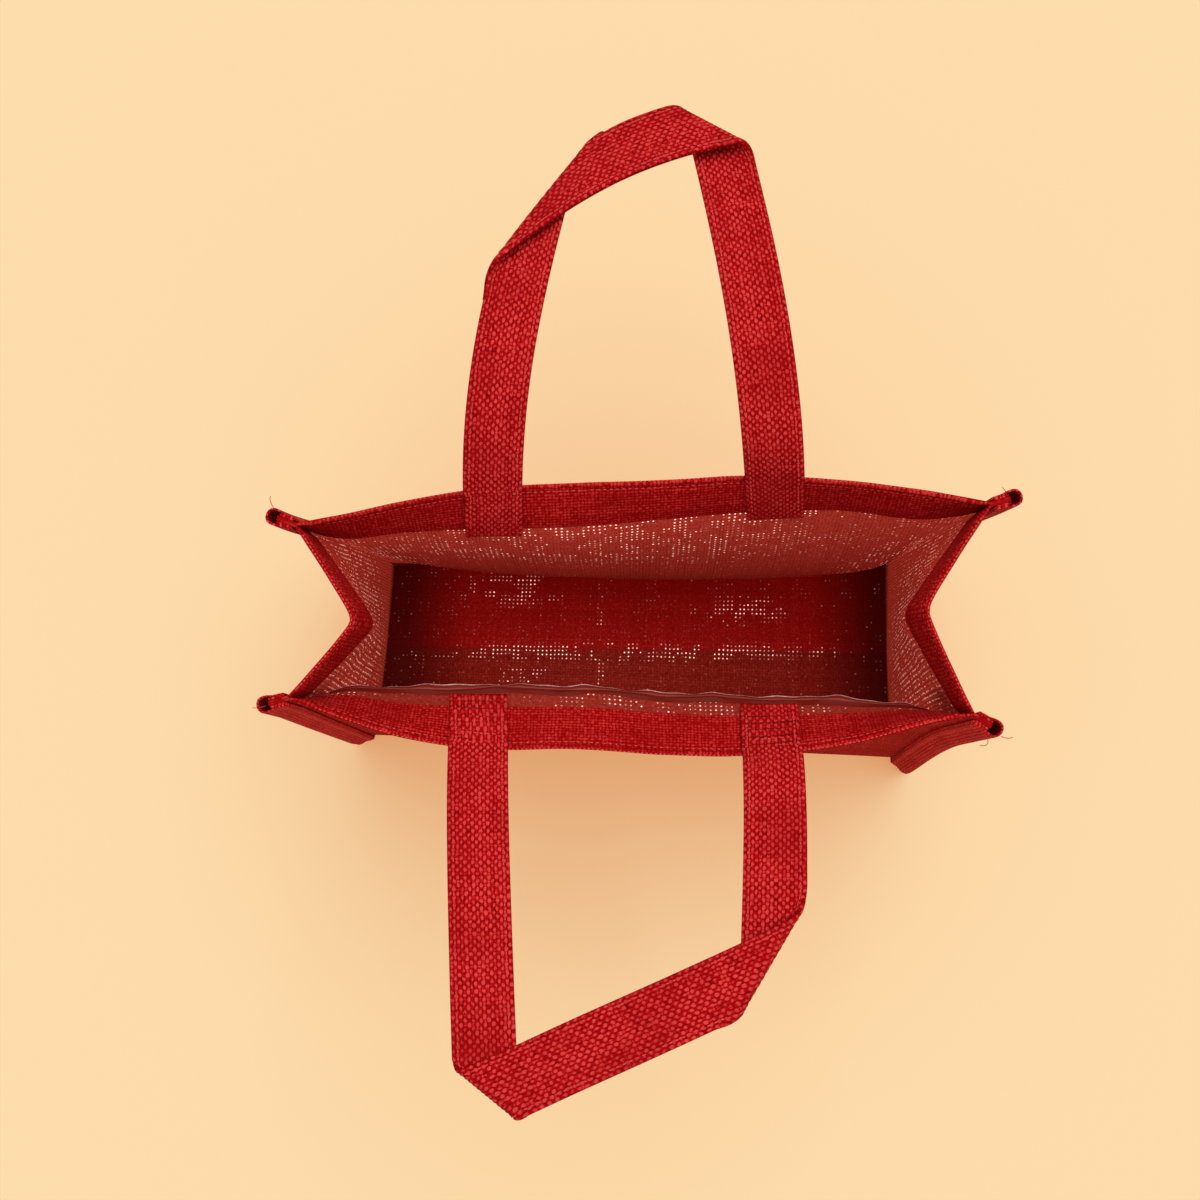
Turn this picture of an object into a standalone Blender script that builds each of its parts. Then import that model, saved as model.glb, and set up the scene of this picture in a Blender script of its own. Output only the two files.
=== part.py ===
# A small jute shopping bag that stands open on its base, with both handles thrown outwards.
#
# Lengths are in millimetres and angles in degrees, in the bag's own frame: X runs along the mouth, Y
# from the front to the back and Z up, with the origin under the middle of the base. Every piece is
# first an open sheet, the middle of its cloth, and Solidify gives it its thickness.

import math
from collections import namedtuple

import bmesh
import bpy
import numpy as np

# The cloth, and the sizes that it was cut and sewn to.
MM = 0.001
CLOTH = 1.2
GAP = 0.6
HEIGHT = 300.0
HALF_DEPTH = 62.0
HEM = 28.0
HEM_LINE = HEIGHT - HEM
ALLOWANCE = 11.0
STRAP_WIDTH = 30.5
STRAP_CLOTH = 2.8
STRAP_GAP = 0.8
LEAVE_RUN = 22.0
SETTLE_RUN = 45.0

# How the walls stand. The front wall leans in to a sharp crease below its hem and then flares out. The
# back wall is bowed in lower down and flares softly.
BELLY_HEIGHT = 195.0
CREASE_HEIGHT = 257.0
BEND = 8.0
CREASE_HALF = 5.0
HEM_STEP = 0.6
EDGE_LIFT = 3.4
EDGE_LIFT_RUN = 24.0
FIN_RISE = 0.24
FIN_TURN = 32.0
CORNER_ROOM = 0.35
CORNER_RUN = 14.0
APEX_ROUND = 0.15
CURVE_STEPS = 60

# Each upright corner: where the walls meet at the base and at the rim, and the way its seam allowance
# points there, as an angle from +X.
Corner = namedtuple("Corner", "side face base_x base_y rim_x rim_y fin_base fin_rim")
CORNERS = [
    Corner("left", "front", -188, -HALF_DEPTH, -177, -44.5, 200, 196),
    Corner("left", "back", -177, HALF_DEPTH, -175, 45, 138, 159),
    Corner("right", "front", 176, -78, 166.5, -53, -52, -33),
    Corner("right", "back", 176, HALF_DEPTH, 178, 54, 42, 16),
]
CORNER = {(corner.side, corner.face): corner for corner in CORNERS}
SIDE_SIGN = {"left": -1, "right": 1}
FACE_SIGN = {"front": -1, "back": 1}

# How far each wall stands from the middle plane: at its belly, at its knee, which is the front crease
# or the back hem's lower edge, and at the rim. Each row is a place along the mouth.
Station = namedtuple("Station", "x belly knee rim")
WALLS = {
    "front": [
        Station(-177, -50, -46, -44.5),
        Station(-160, -46, -39, -51.5),
        Station(-125, -45, -39, -63.5),
        Station(-80, -44, -37.5, -70.5),
        Station(-30, -44, -38.5, -70.5),
        Station(15, -45, -41.5, -73.5),
        Station(60, -46, -43.5, -73.5),
        Station(110, -48, -45.5, -67),
        Station(150, -52, -49.5, -56.5),
        Station(166.5, -57, -54.5, -53),
    ],
    "back": [
        Station(-175, 51, 46, 45),
        Station(-158, 46, 43.5, 49),
        Station(-125, 41, 46.5, 57),
        Station(-80, 37, 49, 65.5),
        Station(-30, 35, 50, 68.5),
        Station(15, 35, 54, 69.5),
        Station(60, 36, 57.5, 71.3),
        Station(110, 38, 58, 67.5),
        Station(150, 42, 52.5, 61.5),
        Station(178, 57, 54.5, 54),
    ],
}

# The innermost point of each gusset's fold at the rim, and how much further in than a straight fold it
# lies lower down, which is most at the hem's edge.
Apex = namedtuple("Apex", "x y")
APEXES = {"left": Apex(-146.7, -4.5), "right": Apex(146.4, -0.4)}
Tuck = namedtuple("Tuck", "height depth")
TUCKS = [Tuck(0, 0), Tuck(BELLY_HEIGHT, 3), Tuck(HEM_LINE, 8), Tuck(HEIGHT, 0)]

# Half the section of the strip that binds a seam: out along the allowance, and off its middle plane.
# The strip is pinched beside the walls and swells to a loop past the raw edges.
Section = namedtuple("Section", "out off")
BINDING = [
    Section(2.6, 2.5),
    Section(8, 2.8),
    Section(12.3, 3.9),
    Section(15.5, 2.9),
    Section(16.6, 0),
]

# How steeply each handle rises as it leaves the rim.
Rise = namedtuple("Rise", "along angle")
RISES = {
    "front": [Rise(0, 39), Rise(30, 28), Rise(60, 18), Rise(110, 13), Rise(170, 8), Rise(260, 6)],
    "back": [Rise(0, 46), Rise(20, 36), Rise(45, 19), Rise(80, 4), Rise(120, -5), Rise(260, -12)],
}

# The route of each handle, as it would lie with its rise pressed flat: x along the mouth and out from
# the rim. A turn is a sewn end or the middle of a fold. Round is the fold's radius and flare how much
# wider it gets towards the strap's first left edge, and bow is how far the run after the turn curves to
# its left.
Turn = namedtuple("Turn", "x out round flare bow")
HANDLES = {
    "front": [
        Turn(-84.7, -34, 0, 0, 0),
        Turn(-69, 167, 3, -0.5, 0),
        Turn(58, 109, 4, -0.3, 1),
        Turn(68.4, -34, 0, 0, 0),
    ],
    "back": [
        Turn(-77.3, -32, 0, 0, 4.6),
        Turn(-47.8, 145.5, 2.6, 0.4, 4.5),
        Turn(37.5, 186, 4.5, 0, 3.5),
        Turn(73.5, -32, 0, 0, 0),
    ],
}

# A run is the strap between two turns: where it starts, its way to the next turn, its mean heading and
# its headings where it starts and ends. The slide along each fold is settled in a few passes.
Run = namedtuple("Run", "start along heading first last")
SLIDE_PASSES = 6
TURNED_BY = 12.0
LAST_FALL = 1.2
NEARBY = 0.5

# Where the meshes have their rows and columns.
ACROSS = 20
PLAIN_TOP = 232.0
PLAIN_FOOT = 32.0
PLAIN_ROWS = 7
ABOVE_BEND = 18.4
BEND_LENGTH = 12.8
CORNER_FAN = 0.4
STRAP_COLUMNS = 4
STRAP_ROW = 13.0
FOLD_ROWS = 6
FOLD_RUN = 55.0
ALLOWANCE_ROWS = [ALLOWANCE / 2, ALLOWANCE]
BEND_PARTS = [0.25, 0.5, 0.75]
HALF_BASE_ROWS = [1 - BEND / HALF_DEPTH, 0.72, 0.45, 0.2, 0.07]

# Colours of the dyed cloth, in linear light.
BODY_RED = (0.33, 0.011, 0.012, 1)
STRAP_RED = (0.42, 0.016, 0.014, 1)
ROUGH = 0.92


def unit(vectors):
    return vectors / np.linalg.norm(vectors, axis=-1, keepdims=True)


def ease(value):
    """0 to 1 with a soft start and end."""
    value = np.clip(value, 0, 1)
    return value * value * (3 - 2 * value)


def smooth(places, values, at):
    """A soft curve through values, read at some places. The values may be one array for each place."""
    places = np.asarray(places, float)
    values = np.asarray(values, float)
    slopes = np.gradient(values, places, axis=0)
    at = np.clip(at, places[0], places[-1])
    span = np.clip(np.searchsorted(places, at, side="right") - 1, 0, len(places) - 2)
    width = places[span + 1] - places[span]
    part = (at - places[span]) / width

    def pick(table, index):
        if table.ndim == 1:
            return table[index]
        return np.take_along_axis(table, index, axis=0)

    start, end = pick(values, span), pick(values, span + 1)
    leave, arrive = pick(slopes, span) * width, pick(slopes, span + 1) * width
    square, cube = part**2, part**3
    return (
        (2 * cube - 3 * square + 1) * start
        + (cube - 2 * square + part) * leave
        + (3 * square - 2 * cube) * end
        + (cube - square) * arrive
    )


def column(table, name):
    return [getattr(row, name) for row in table]


def corner_at(face, name, share):
    """A corner's value, blended from the left corner to the right one."""
    left = getattr(CORNER["left", face], name)
    right = getattr(CORNER["right", face], name)
    return left + (right - left) * share


def share_of(face, x):
    """How far along a wall's rim a place is, from 0 at its left corner to 1 at its right one."""
    left, right = CORNER["left", face].rim_x, CORNER["right", face].rim_x
    return (x - left) / (right - left)


def wall_depth(face, x, height):
    """How far a wall stands from the middle plane, at places x along the rim and heights in its cloth."""
    table = WALLS[face]
    places = column(table, "x")
    foot = corner_at(face, "base_y", share_of(face, x))
    belly, knee, rim = (smooth(places, column(table, name), x) for name in ("belly", "knee", "rim"))
    if face == "back":
        return smooth([0, BELLY_HEIGHT, HEM_LINE, HEIGHT], [foot, belly, knee, rim], height)
    below = smooth([0, BELLY_HEIGHT, CREASE_HEIGHT], [foot, belly, knee], height)
    above = knee + (rim - knee) * (height - CREASE_HEIGHT) / (HEIGHT - CREASE_HEIGHT)
    return np.where(height <= CREASE_HEIGHT, below, above)


def edge_lift(x, left, right):
    """The base's side edges ride up on their seam allowances."""
    inset = np.minimum(x - left, right - x)
    return EDGE_LIFT * ease(1 - inset / EDGE_LIFT_RUN)


def wall(face, x, height):
    """Points of a wall's sheet. Its height is measured along the cloth, so a slope lowers the rim."""
    x, height = np.broadcast_arrays(np.asarray(x, float), np.asarray(height, float))
    shape = x.shape
    x, height = x.ravel(), height.ravel()
    climb = np.linspace(0, 1, CURVE_STEPS + 1)[:, None] * height
    depth = wall_depth(face, x, climb)
    rise = np.sqrt(np.maximum(np.diff(climb, axis=0) ** 2 - np.diff(depth, axis=0) ** 2, 0)).sum(axis=0)
    left, right = CORNER["left", face].rim_x, CORNER["right", face].rim_x
    foot_x = corner_at(face, "base_x", share_of(face, x))
    along = foot_x + (x - foot_x) * height / HEIGHT
    points = np.stack([along, depth[-1], CLOTH / 2 + edge_lift(x, left, right) + rise], axis=-1)
    return points.reshape(*shape, 3)


def base(share, back):
    """Points of the base's sheet, at a share of its width and from -1, front, to 1, back."""
    share, back = np.broadcast_arrays(np.asarray(share, float), np.asarray(back, float))
    ends = [[corner_at(face, name, share) for name in ("base_x", "base_y")] for face in FACE_SIGN]
    x, y = (front + (rear - front) * (back + 1) / 2 for front, rear in zip(*ends))
    width = CORNER["right", "back"].rim_x - CORNER["left", "back"].rim_x
    lift = edge_lift(share * width, 0, width)
    return np.stack([x, y, CLOTH / 2 + lift], axis=-1)


def wall_rows():
    """Heights of a wall's rows, rim first: close at the hem's edge, at the crease and at the foot."""
    hem = [HEIGHT, HEIGHT - HEM / 2, HEM_LINE + HEM_STEP, HEM_LINE - HEM_STEP]
    crease = [CREASE_HEIGHT + CREASE_HALF, CREASE_HEIGHT, CREASE_HEIGHT - CREASE_HALF]
    plain = np.linspace(PLAIN_TOP, PLAIN_FOOT, PLAIN_ROWS)
    return np.array([*hem, *crease, *plain, ABOVE_BEND, BEND])


def base_rows():
    """Places of the base's rows from front to back, between the two bends."""
    return np.array([*(-share for share in HALF_BASE_ROWS), 0, *reversed(HALF_BASE_ROWS)])


def panel_grid(share):
    """The body panel's sheet between its corners: front wall, base and back wall as one cloth."""
    rows = {}
    for face in FACE_SIGN:
        left, right = CORNER["left", face].rim_x, CORNER["right", face].rim_x
        x = left + (right - left) * share
        rows[face] = [wall(face, x, height) for height in wall_rows()]
    middle = [base(share, back) for back in base_rows()]
    bends = {}
    for face, next_row in (("front", middle[0]), ("back", middle[-1])):
        sharp = base(share, FACE_SIGN[face])
        foot = rows[face][-1]
        bends[face] = [
            (1 - part) ** 2 * foot + 2 * part * (1 - part) * sharp + part**2 * next_row
            for part in BEND_PARTS
        ]
    front = [*rows["front"], *bends["front"]]
    back = [*rows["back"], *bends["back"]]
    return np.array([*front, *middle, *reversed(back)])


def from_corner():
    """How far each row of a seam lies past the nearest bend: negative up the wall, positive on the base."""
    bend = [(part - 0.5) * BEND_LENGTH for part in BEND_PARTS]
    return [*(-wall_rows()), *bend, *((1 - abs(back)) * HALF_DEPTH for back in base_rows() if back <= 0)]


def seam(side):
    """One side's seam, from the front rim round the base to the back rim: the panel's edge, the way the
    allowance points, and the way from the gusset's layer to the panel's, which is longer than 1 where
    the layers bunch and stand apart round the base's corner."""
    edge = panel_grid(np.array([0.0 if side == "left" else 1.0]))[:, 0]
    flat = np.array([SIDE_SIGN[side], 0, FIN_RISE])
    halves = []
    for face in FACE_SIGN:
        corner = CORNER[side, face]
        half = []
        for past in from_corner():
            height = max(-past, 0)
            angle = math.radians(corner.fin_base + (corner.fin_rim - corner.fin_base) * height / HEIGHT)
            upright = np.array([math.cos(angle), math.sin(angle), 0])
            turned = ease((past + FIN_TURN) / (2 * FIN_TURN))
            half.append(upright * (1 - turned) + flat * turned)
        halves.append(half)
    out = np.array([*halves[0], *reversed(halves[1][:-1])])
    steps = unit(np.diff(edge, axis=0))
    run = unit(np.concatenate([steps[:1], steps[1:] + steps[:-1], steps[-1:]]))
    out = unit(out - (out * run).sum(axis=1, keepdims=True) * run)
    past = np.array([*from_corner(), *reversed(from_corner()[:-1])])
    room = 1 + CORNER_ROOM * np.exp(-((past / CORNER_RUN) ** 2))
    off = SIDE_SIGN[side] * np.cross(run, out) * room[:, None]
    return edge, out, off


def normals(grid):
    """The way out of a grid of points, from the directions of its rows and columns."""
    down = np.gradient(grid, axis=0)
    along = np.gradient(grid, axis=1)
    return unit(np.cross(along, down))


def thicken_hem(grid, heights, inward):
    """Move the rows of the hem inwards by half a layer, so that its second layer lies inside."""
    shift = np.where(np.asarray(heights) > HEM_LINE, CLOTH / 2, 0)[:, None, None]
    return grid + shift * inward


def panel_sheet():
    """The body panel with its seam allowances, and how much of each point is hem."""
    share = np.linspace(0, 1, ACROSS + 1)
    grid = panel_grid(share)
    walls = wall_rows()
    heights = np.concatenate([walls, np.zeros(len(grid) - 2 * len(walls)), walls[::-1]])
    inner = thicken_hem(grid, heights, normals(grid))
    grid[:, 1:-1] = inner[:, 1:-1]
    columns = []
    for side in SIDE_SIGN:
        edge, out, _ = seam(side)
        wings = [edge + step * out for step in ALLOWANCE_ROWS]
        columns.append(np.stack(wings[::-1] if side == "left" else wings, axis=1))
    sheet = np.concatenate([columns[0], grid, columns[1]], axis=1)
    double = np.zeros(sheet.shape[:2])
    skip = len(ALLOWANCE_ROWS) + 1
    double[heights > HEM_LINE, skip:-skip] = 1
    return sheet, double


def fold_depth(places):
    """How far in a gusset lies, from 0 at its corners, -1 and 1, to 1 at the fold between them."""
    folded = math.hypot(1, APEX_ROUND) - APEX_ROUND
    return 1 - (np.hypot(places, APEX_ROUND) - APEX_ROUND) / folded


def gusset_rim(side, places):
    """The rim of a gusset, from the front corner in to its fold and out to the back corner."""
    edge, _, off = seam(side)
    inner = edge - (CLOTH + GAP) * off
    apex = APEXES[side]
    depth = fold_depth(places)
    corner = np.where(places[:, None] < 0, inner[0], inner[-1])
    x = corner[:, 0] + (apex.x - corner[:, 0]) * depth
    y = apex.y + (corner[:, 1] - apex.y) * np.abs(places)
    return np.stack([x, y, corner[:, 2]], axis=1)


def gusset_sheet(side):
    """A gusset with its allowances, stretched between its three seams and its folded rim."""
    edge, out, off = seam(side)
    layer = edge - (CLOTH + GAP) * off
    heights = np.array([*wall_rows(), BEND / 2, 0])
    foot = len(heights) - 1
    bottom = layer[foot : len(layer) - foot]
    front, back = layer[: foot + 1], layer[::-1][: foot + 1]
    places = 2 * (bottom[:, 1] - bottom[0, 1]) / (bottom[-1, 1] - bottom[0, 1]) - 1
    rim = gusset_rim(side, places)
    up = heights[:, None, None] / HEIGHT
    over = ((places + 1) / 2)[None, :, None]
    sides = front[:, None] * (1 - over) + back[:, None] * over
    ends = rim[None] * up + bottom[None] * (1 - up)
    top_corners = front[0] * (1 - over) + back[0] * over
    low_corners = front[-1] * (1 - over) + back[-1] * over
    grid = sides + ends - top_corners * up - low_corners * (1 - up)
    tuck = smooth(column(TUCKS, "height"), column(TUCKS, "depth"), heights)
    grid[..., 0] -= SIDE_SIGN[side] * tuck[:, None] * fold_depth(places)
    inward = SIDE_SIGN[side] * normals(grid)
    inner = thicken_hem(grid, heights, inward)
    grid[:, 1:-1] = inner[:, 1:-1]

    def beyond(station, step):
        """A point of the allowance, at a place between two of the seam's rows."""
        low = int(math.floor(station))
        part = station - low
        high = min(low + 1, len(layer) - 1)
        wing = [layer[row] + step * out[row] for row in (low, high)]
        return wing[0] * (1 - part) + wing[1] * part

    wings = len(ALLOWANCE_ROWS)
    rows, columns = grid.shape[:2]
    sheet = np.zeros((rows + wings, columns + 2 * wings, 3))
    sheet[:rows, wings:-wings] = grid
    last = len(layer) - 1
    for index, step in enumerate(ALLOWANCE_ROWS):
        for row in range(rows - 1):
            sheet[row, wings - 1 - index] = beyond(row, step)
            sheet[row, wings + columns + index] = beyond(last - row, step)
        for place in range(columns):
            sheet[rows + index, wings + place] = beyond(foot + place, step)
    steps = [0, *ALLOWANCE_ROWS]
    for across, wide in enumerate(steps):
        for below, deep in enumerate(steps):
            if wide == deep == 0:
                continue
            turn = CORNER_FAN * (deep - wide) / max(deep, wide)
            row = rows - 1 + below
            sheet[row, wings - across] = beyond(foot + turn, max(deep, wide))
            sheet[row, wings + columns - 1 + across] = beyond(last - foot - turn, max(deep, wide))
    double = np.zeros(sheet.shape[:2])
    double[: int((heights > HEM_LINE).sum()), wings + 1 : -wings - 1] = 1
    return sheet, double


def binding_sheet(side):
    """The strip round one side's allowances, which is one long loop-edged channel."""
    edge, out, off = seam(side)
    middle = edge - (CLOTH + GAP) / 2 * off
    section = [*BINDING, *(Section(point.out, -point.off) for point in reversed(BINDING[:-1]))]
    return np.stack([middle + point.out * out + point.off * off for point in section], axis=1)


def heading_of(degrees):
    return np.array([math.cos(math.radians(degrees)), math.sin(math.radians(degrees))])


def strap_runs(face):
    """The runs of a handle and the slants of its folds. A strap that goes over a fold at a slant moves
    along it as it goes round, so a run starts further along the fold than the last one ended."""
    turns = HANDLES[face]
    crossings = np.array([[turn.x, turn.out] for turn in turns], float)
    shift = np.zeros_like(crossings)
    for _ in range(SLIDE_PASSES):
        runs = []
        for index, turn in enumerate(turns[:-1]):
            start = crossings[index] + shift[index]
            along = crossings[index + 1] - shift[index + 1] - start
            heading = math.degrees(math.atan2(along[1], along[0]))
            curl = math.degrees(turn.bow * math.pi / math.hypot(*along))
            runs.append(Run(start, along, heading, heading + curl, heading - curl))
        slants = [180]
        for index in (1, 2):
            slants.append((runs[index - 1].last + runs[index].first) / 2 + 180 * index)
            turned = math.radians(runs[index - 1].last - slants[index])
            slide = math.pi * turns[index].round / 2 * math.cos(turned) / abs(math.sin(turned))
            shift[index] = slide * heading_of(slants[index])
        slants.append(360)
    return runs, slants


def strap_route(face):
    """Rows of points across a handle, pressed flat: x, out from the rim, and how far it is lifted."""
    turns = HANDLES[face]
    runs, slants = strap_runs(face)
    inside = (runs[0].start + runs[-1].start + runs[-1].along) / 2
    spread = np.linspace(1, -1, STRAP_COLUMNS + 1)
    squares = [180, runs[1].heading + 270, 360]
    rows = []
    level = np.zeros_like(spread)
    for index, (run, turn, after) in enumerate(zip(runs, turns, turns[1:])):
        length = math.hypot(*run.along)
        side = np.array([-run.along[1], run.along[0]]) / length
        parts = np.linspace(0, 1, round(length / STRAP_ROW) + 1)
        if index != 1:
            at_rim = -run.start[1] / run.along[1]
            parts[np.argmin(abs(parts - at_rim))] = at_rim
        for part in parts:
            turned_in = 1 - ease(part * length / FOLD_RUN)
            turned_out = 1 - ease((1 - part) * length / FOLD_RUN)
            across = squares[index] + (slants[index] - squares[index]) * turned_in
            across += (slants[index + 1] - squares[index]) * turned_out
            bend = run.first * (1 - part) + run.last * part
            half = STRAP_WIDTH / 2 / abs(math.sin(math.radians(across - bend)))
            centre = run.start + run.along * part + side * turn.bow * math.sin(math.pi * part)
            flat = centre + half * spread[:, None] * heading_of(across)
            top = 2 * after.round if index == 1 else 0
            lift = level + (top - level) * ease(part * (LAST_FALL if index == 2 else 1))
            rows.append(np.column_stack([flat, lift]))
        if not after.round:
            break
        line = heading_of(slants[index + 1])
        outward = np.array([-line[1], line[0]])
        if outward @ (run.start + run.along - inside) < 0:
            outward = -outward
        slide = runs[index + 1].start - run.start - run.along
        radius = after.round * (1 + after.flare * spread)
        start = rows[-1]
        down = -1 if index else 1
        for turned in np.linspace(0, math.pi, FOLD_ROWS + 1)[1:]:
            flat = start[:, :2] + (radius * math.sin(turned))[:, None] * outward + slide * turned / math.pi
            lift = start[:, 2] + down * radius * (1 - math.cos(turned))
            rows.append(np.column_stack([flat, lift]))
        level = rows[-1][:, 2]
        del rows[-1]
    return np.array(rows)


def strap_lift(face, route):
    """Lay a pressed-flat handle on the hem's inner face and then along its own rise."""
    x, out, lift = route[..., 0], route[..., 1], route[..., 2]
    sign = FACE_SIGN[face]
    stand = 1.5 * CLOTH + STRAP_GAP + STRAP_CLOTH / 2

    def seated(place, height):
        here = wall(face, place, height)
        along = wall(face, place + NEARBY, height) - wall(face, place - NEARBY, height)
        up = here - wall(face, place, height - NEARBY)
        facing = unit(np.cross(along, up) * sign)
        return here, facing, np.degrees(np.arctan2(up[..., 2], sign * up[..., 1]))

    on_wall, facing, _ = seated(x, HEIGHT + np.minimum(out, 0))
    at_rim, rim_facing, wall_angle = seated(x, np.full_like(x, HEIGHT))
    table = RISES[face]
    steps = np.linspace(0, 1, CURVE_STEPS + 1)
    travel = np.maximum(out, 0)[..., None] * steps
    angle = smooth(column(table, "along"), column(table, "angle"), travel)
    angle = np.radians(angle + (wall_angle[..., None] - table[0].angle) * np.exp(-travel / LEAVE_RUN))
    width = np.diff(travel, axis=-1)
    middle = (angle[..., 1:] + angle[..., :-1]) / 2
    away = (np.cos(middle) * width).sum(axis=-1)
    climb = (np.sin(middle) * width).sum(axis=-1)
    start = at_rim + stand * rim_facing
    mean = start.reshape(-1, 3).mean(axis=0)
    settle = np.exp(-np.maximum(out, 0) / SETTLE_RUN)[..., None]
    leave = mean + (start - mean) * settle
    leave[..., 0] = x
    free = leave + np.stack([np.zeros_like(away), sign * away, climb], axis=-1)
    tip = angle[..., -1]
    top = np.stack([np.zeros_like(tip), -sign * np.sin(tip), np.cos(tip)], axis=-1)
    blend = ease(np.maximum(out, 0) / TURNED_BY)[..., None]
    top = unit(rim_facing * (1 - blend) + top * blend)
    seat = on_wall + (stand + lift[..., None]) * facing
    return np.where((out <= 0)[..., None], seat, free + lift[..., None] * top)


def mesh_of(name, sheet, double=None):
    """A grid of quads whose points are those of the sheet, with the hem marked in a vertex group."""
    rows, columns = sheet.shape[:2]
    shape = bmesh.new()
    bmesh.ops.create_grid(shape, x_segments=columns - 1, y_segments=rows - 1, size=1)
    layer = shape.verts.layers.deform.new()
    for vertex in shape.verts:
        place = round((vertex.co.x + 1) / 2 * (columns - 1))
        row = round((vertex.co.y + 1) / 2 * (rows - 1))
        if double is not None and double[row, place]:
            vertex[layer][0] = 1.0
        vertex.co = sheet[row, place] * MM
    mesh = bpy.data.meshes.new(name)
    shape.to_mesh(mesh)
    shape.free()
    return mesh


def cloth_piece(name, sheet, thickness, colour, collection, double=None):
    """One cut piece of cloth: its sheet, its thickness and its material."""
    piece = bpy.data.objects.new(name, mesh_of(name, sheet, double))
    collection.objects.link(piece)
    solid = piece.modifiers.new("Thickness", "SOLIDIFY")
    solid.thickness = thickness * MM
    solid.offset = 0
    solid.use_even_offset = True
    solid.use_quality_normals = True
    if double is not None:
        piece.vertex_groups.new(name="Hem")
        solid.thickness = 2 * thickness * MM
        solid.vertex_group = "Hem"
        solid.thickness_vertex_group = 0.5
    material = bpy.data.materials.new(name)
    material.use_nodes = True
    shader = material.node_tree.nodes["Principled BSDF"]
    shader.inputs["Base Color"].default_value = colour
    shader.inputs["Roughness"].default_value = ROUGH
    shader.inputs["Metallic"].default_value = 0
    piece.data.materials.append(material)
    return piece


def build():
    for thing in list(bpy.data.objects):
        bpy.data.objects.remove(thing, do_unlink=True)
    bag = bpy.data.collections.new("Jute shopping bag")
    bpy.context.scene.collection.children.link(bag)
    sheet, double = panel_sheet()
    cloth_piece("body_panel", sheet, CLOTH, BODY_RED, bag, double)
    for side in SIDE_SIGN:
        sheet, double = gusset_sheet(side)
        cloth_piece(f"gusset_{side}", sheet, CLOTH, BODY_RED, bag, double)
        cloth_piece(f"binding_{side}", binding_sheet(side), CLOTH, STRAP_RED, bag)
    for face in FACE_SIGN:
        strap = strap_lift(face, strap_route(face))
        cloth_piece(f"handle_{face}", strap, STRAP_CLOTH, STRAP_RED, bag)


build()
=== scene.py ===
# A small jute shopping bag that stands open on its base, with both handles thrown outwards.
#
# Lengths are in millimetres in the bag's own frame, X along the mouth, Y from the front to the back and Z
# up, and become metres where a mesh is made. Each cloth follows the same curves as the solid it replaces.

import math
from collections import namedtuple
from functools import partial

import bmesh
import bpy
import numpy as np
from mathutils import Matrix, Vector


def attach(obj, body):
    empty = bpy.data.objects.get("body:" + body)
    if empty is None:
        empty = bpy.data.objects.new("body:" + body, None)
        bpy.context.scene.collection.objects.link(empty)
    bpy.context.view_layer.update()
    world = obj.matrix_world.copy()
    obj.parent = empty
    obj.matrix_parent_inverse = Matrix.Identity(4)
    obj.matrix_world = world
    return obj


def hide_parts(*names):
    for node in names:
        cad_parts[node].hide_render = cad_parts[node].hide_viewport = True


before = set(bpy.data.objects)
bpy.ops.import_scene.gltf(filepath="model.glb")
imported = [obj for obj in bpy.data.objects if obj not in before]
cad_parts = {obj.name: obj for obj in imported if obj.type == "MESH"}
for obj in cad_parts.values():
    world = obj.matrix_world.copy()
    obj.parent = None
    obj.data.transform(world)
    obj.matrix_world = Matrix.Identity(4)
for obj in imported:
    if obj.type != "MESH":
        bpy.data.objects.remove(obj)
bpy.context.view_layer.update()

# The view is that of a camera a metre above the floor, looking almost straight down past the front rim.
# Its place and tilt were worked out from the base, the rim and the handles in the photograph.
MM = 0.001
PHOTO_SIDE = 1200
FOCAL_PIXELS = 1410
PIXEL_BELOW = (643, 738)
CAMERA_PLACE = (2.15, -64.3, 1014)
SENSOR = 36

camera_data = bpy.data.cameras.new("Camera")
camera_data.sensor_width = SENSOR
camera_data.lens = SENSOR * FOCAL_PIXELS / PHOTO_SIDE
middle = PHOTO_SIDE / 2
up = -Vector((PIXEL_BELOW[0] - middle, middle - PIXEL_BELOW[1], -FOCAL_PIXELS)).normalized()
right = (Vector((1, 0, 0)) - up * up.x).normalized()
camera = bpy.data.objects.new("Camera", camera_data)
turned = Matrix((right, up.cross(right), up)).to_4x4()
camera.matrix_world = Matrix.Translation(Vector(CAMERA_PLACE) * MM) @ turned
bpy.context.scene.collection.objects.link(camera)
bpy.context.scene.camera = camera
bpy.context.scene.view_settings.view_transform = "Standard"


# The body panel is one length of dyed jute, which makes the front wall, the base and the back wall. Its
# top edges are turned in for a hem, and its side edges stand out at the corners as seam allowances.
CLOTH = 1.2
GAP = 0.2
HEIGHT = 300.0
HALF_DEPTH = 62.0
HEM = 28.0
HEM_LINE = HEIGHT - HEM
ALLOWANCE = 11.0
BELLY_HEIGHT = 195.0
CREASE_HEIGHT = 257.0
BEND = 8.0
EDGE_LIFT = 3.4
EDGE_LIFT_RUN = 24.0
FIN_RISE = 0.24
FIN_TURN = 32.0
CORNER_ROOM = 0.35
CORNER_RUN = 14.0
CURVE_STEPS = 60
ACROSS = 96

# Each upright corner: where the walls meet at the base and at the rim, and the way its seam allowance
# points there, as an angle from +X.
Corner = namedtuple("Corner", "side face base_x base_y rim_x rim_y fin_base fin_rim")
CORNERS = [
    Corner("left", "front", -188, -HALF_DEPTH, -177, -44.5, 200, 196),
    Corner("left", "back", -177, HALF_DEPTH, -175, 45, 138, 159),
    Corner("right", "front", 176, -78, 166.5, -53, -52, -33),
    Corner("right", "back", 176, HALF_DEPTH, 178, 54, 42, 16),
]
CORNER = {(corner.side, corner.face): corner for corner in CORNERS}
SIDE_SIGN = {"left": -1, "right": 1}
FACE_SIGN = {"front": -1, "back": 1}

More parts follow.
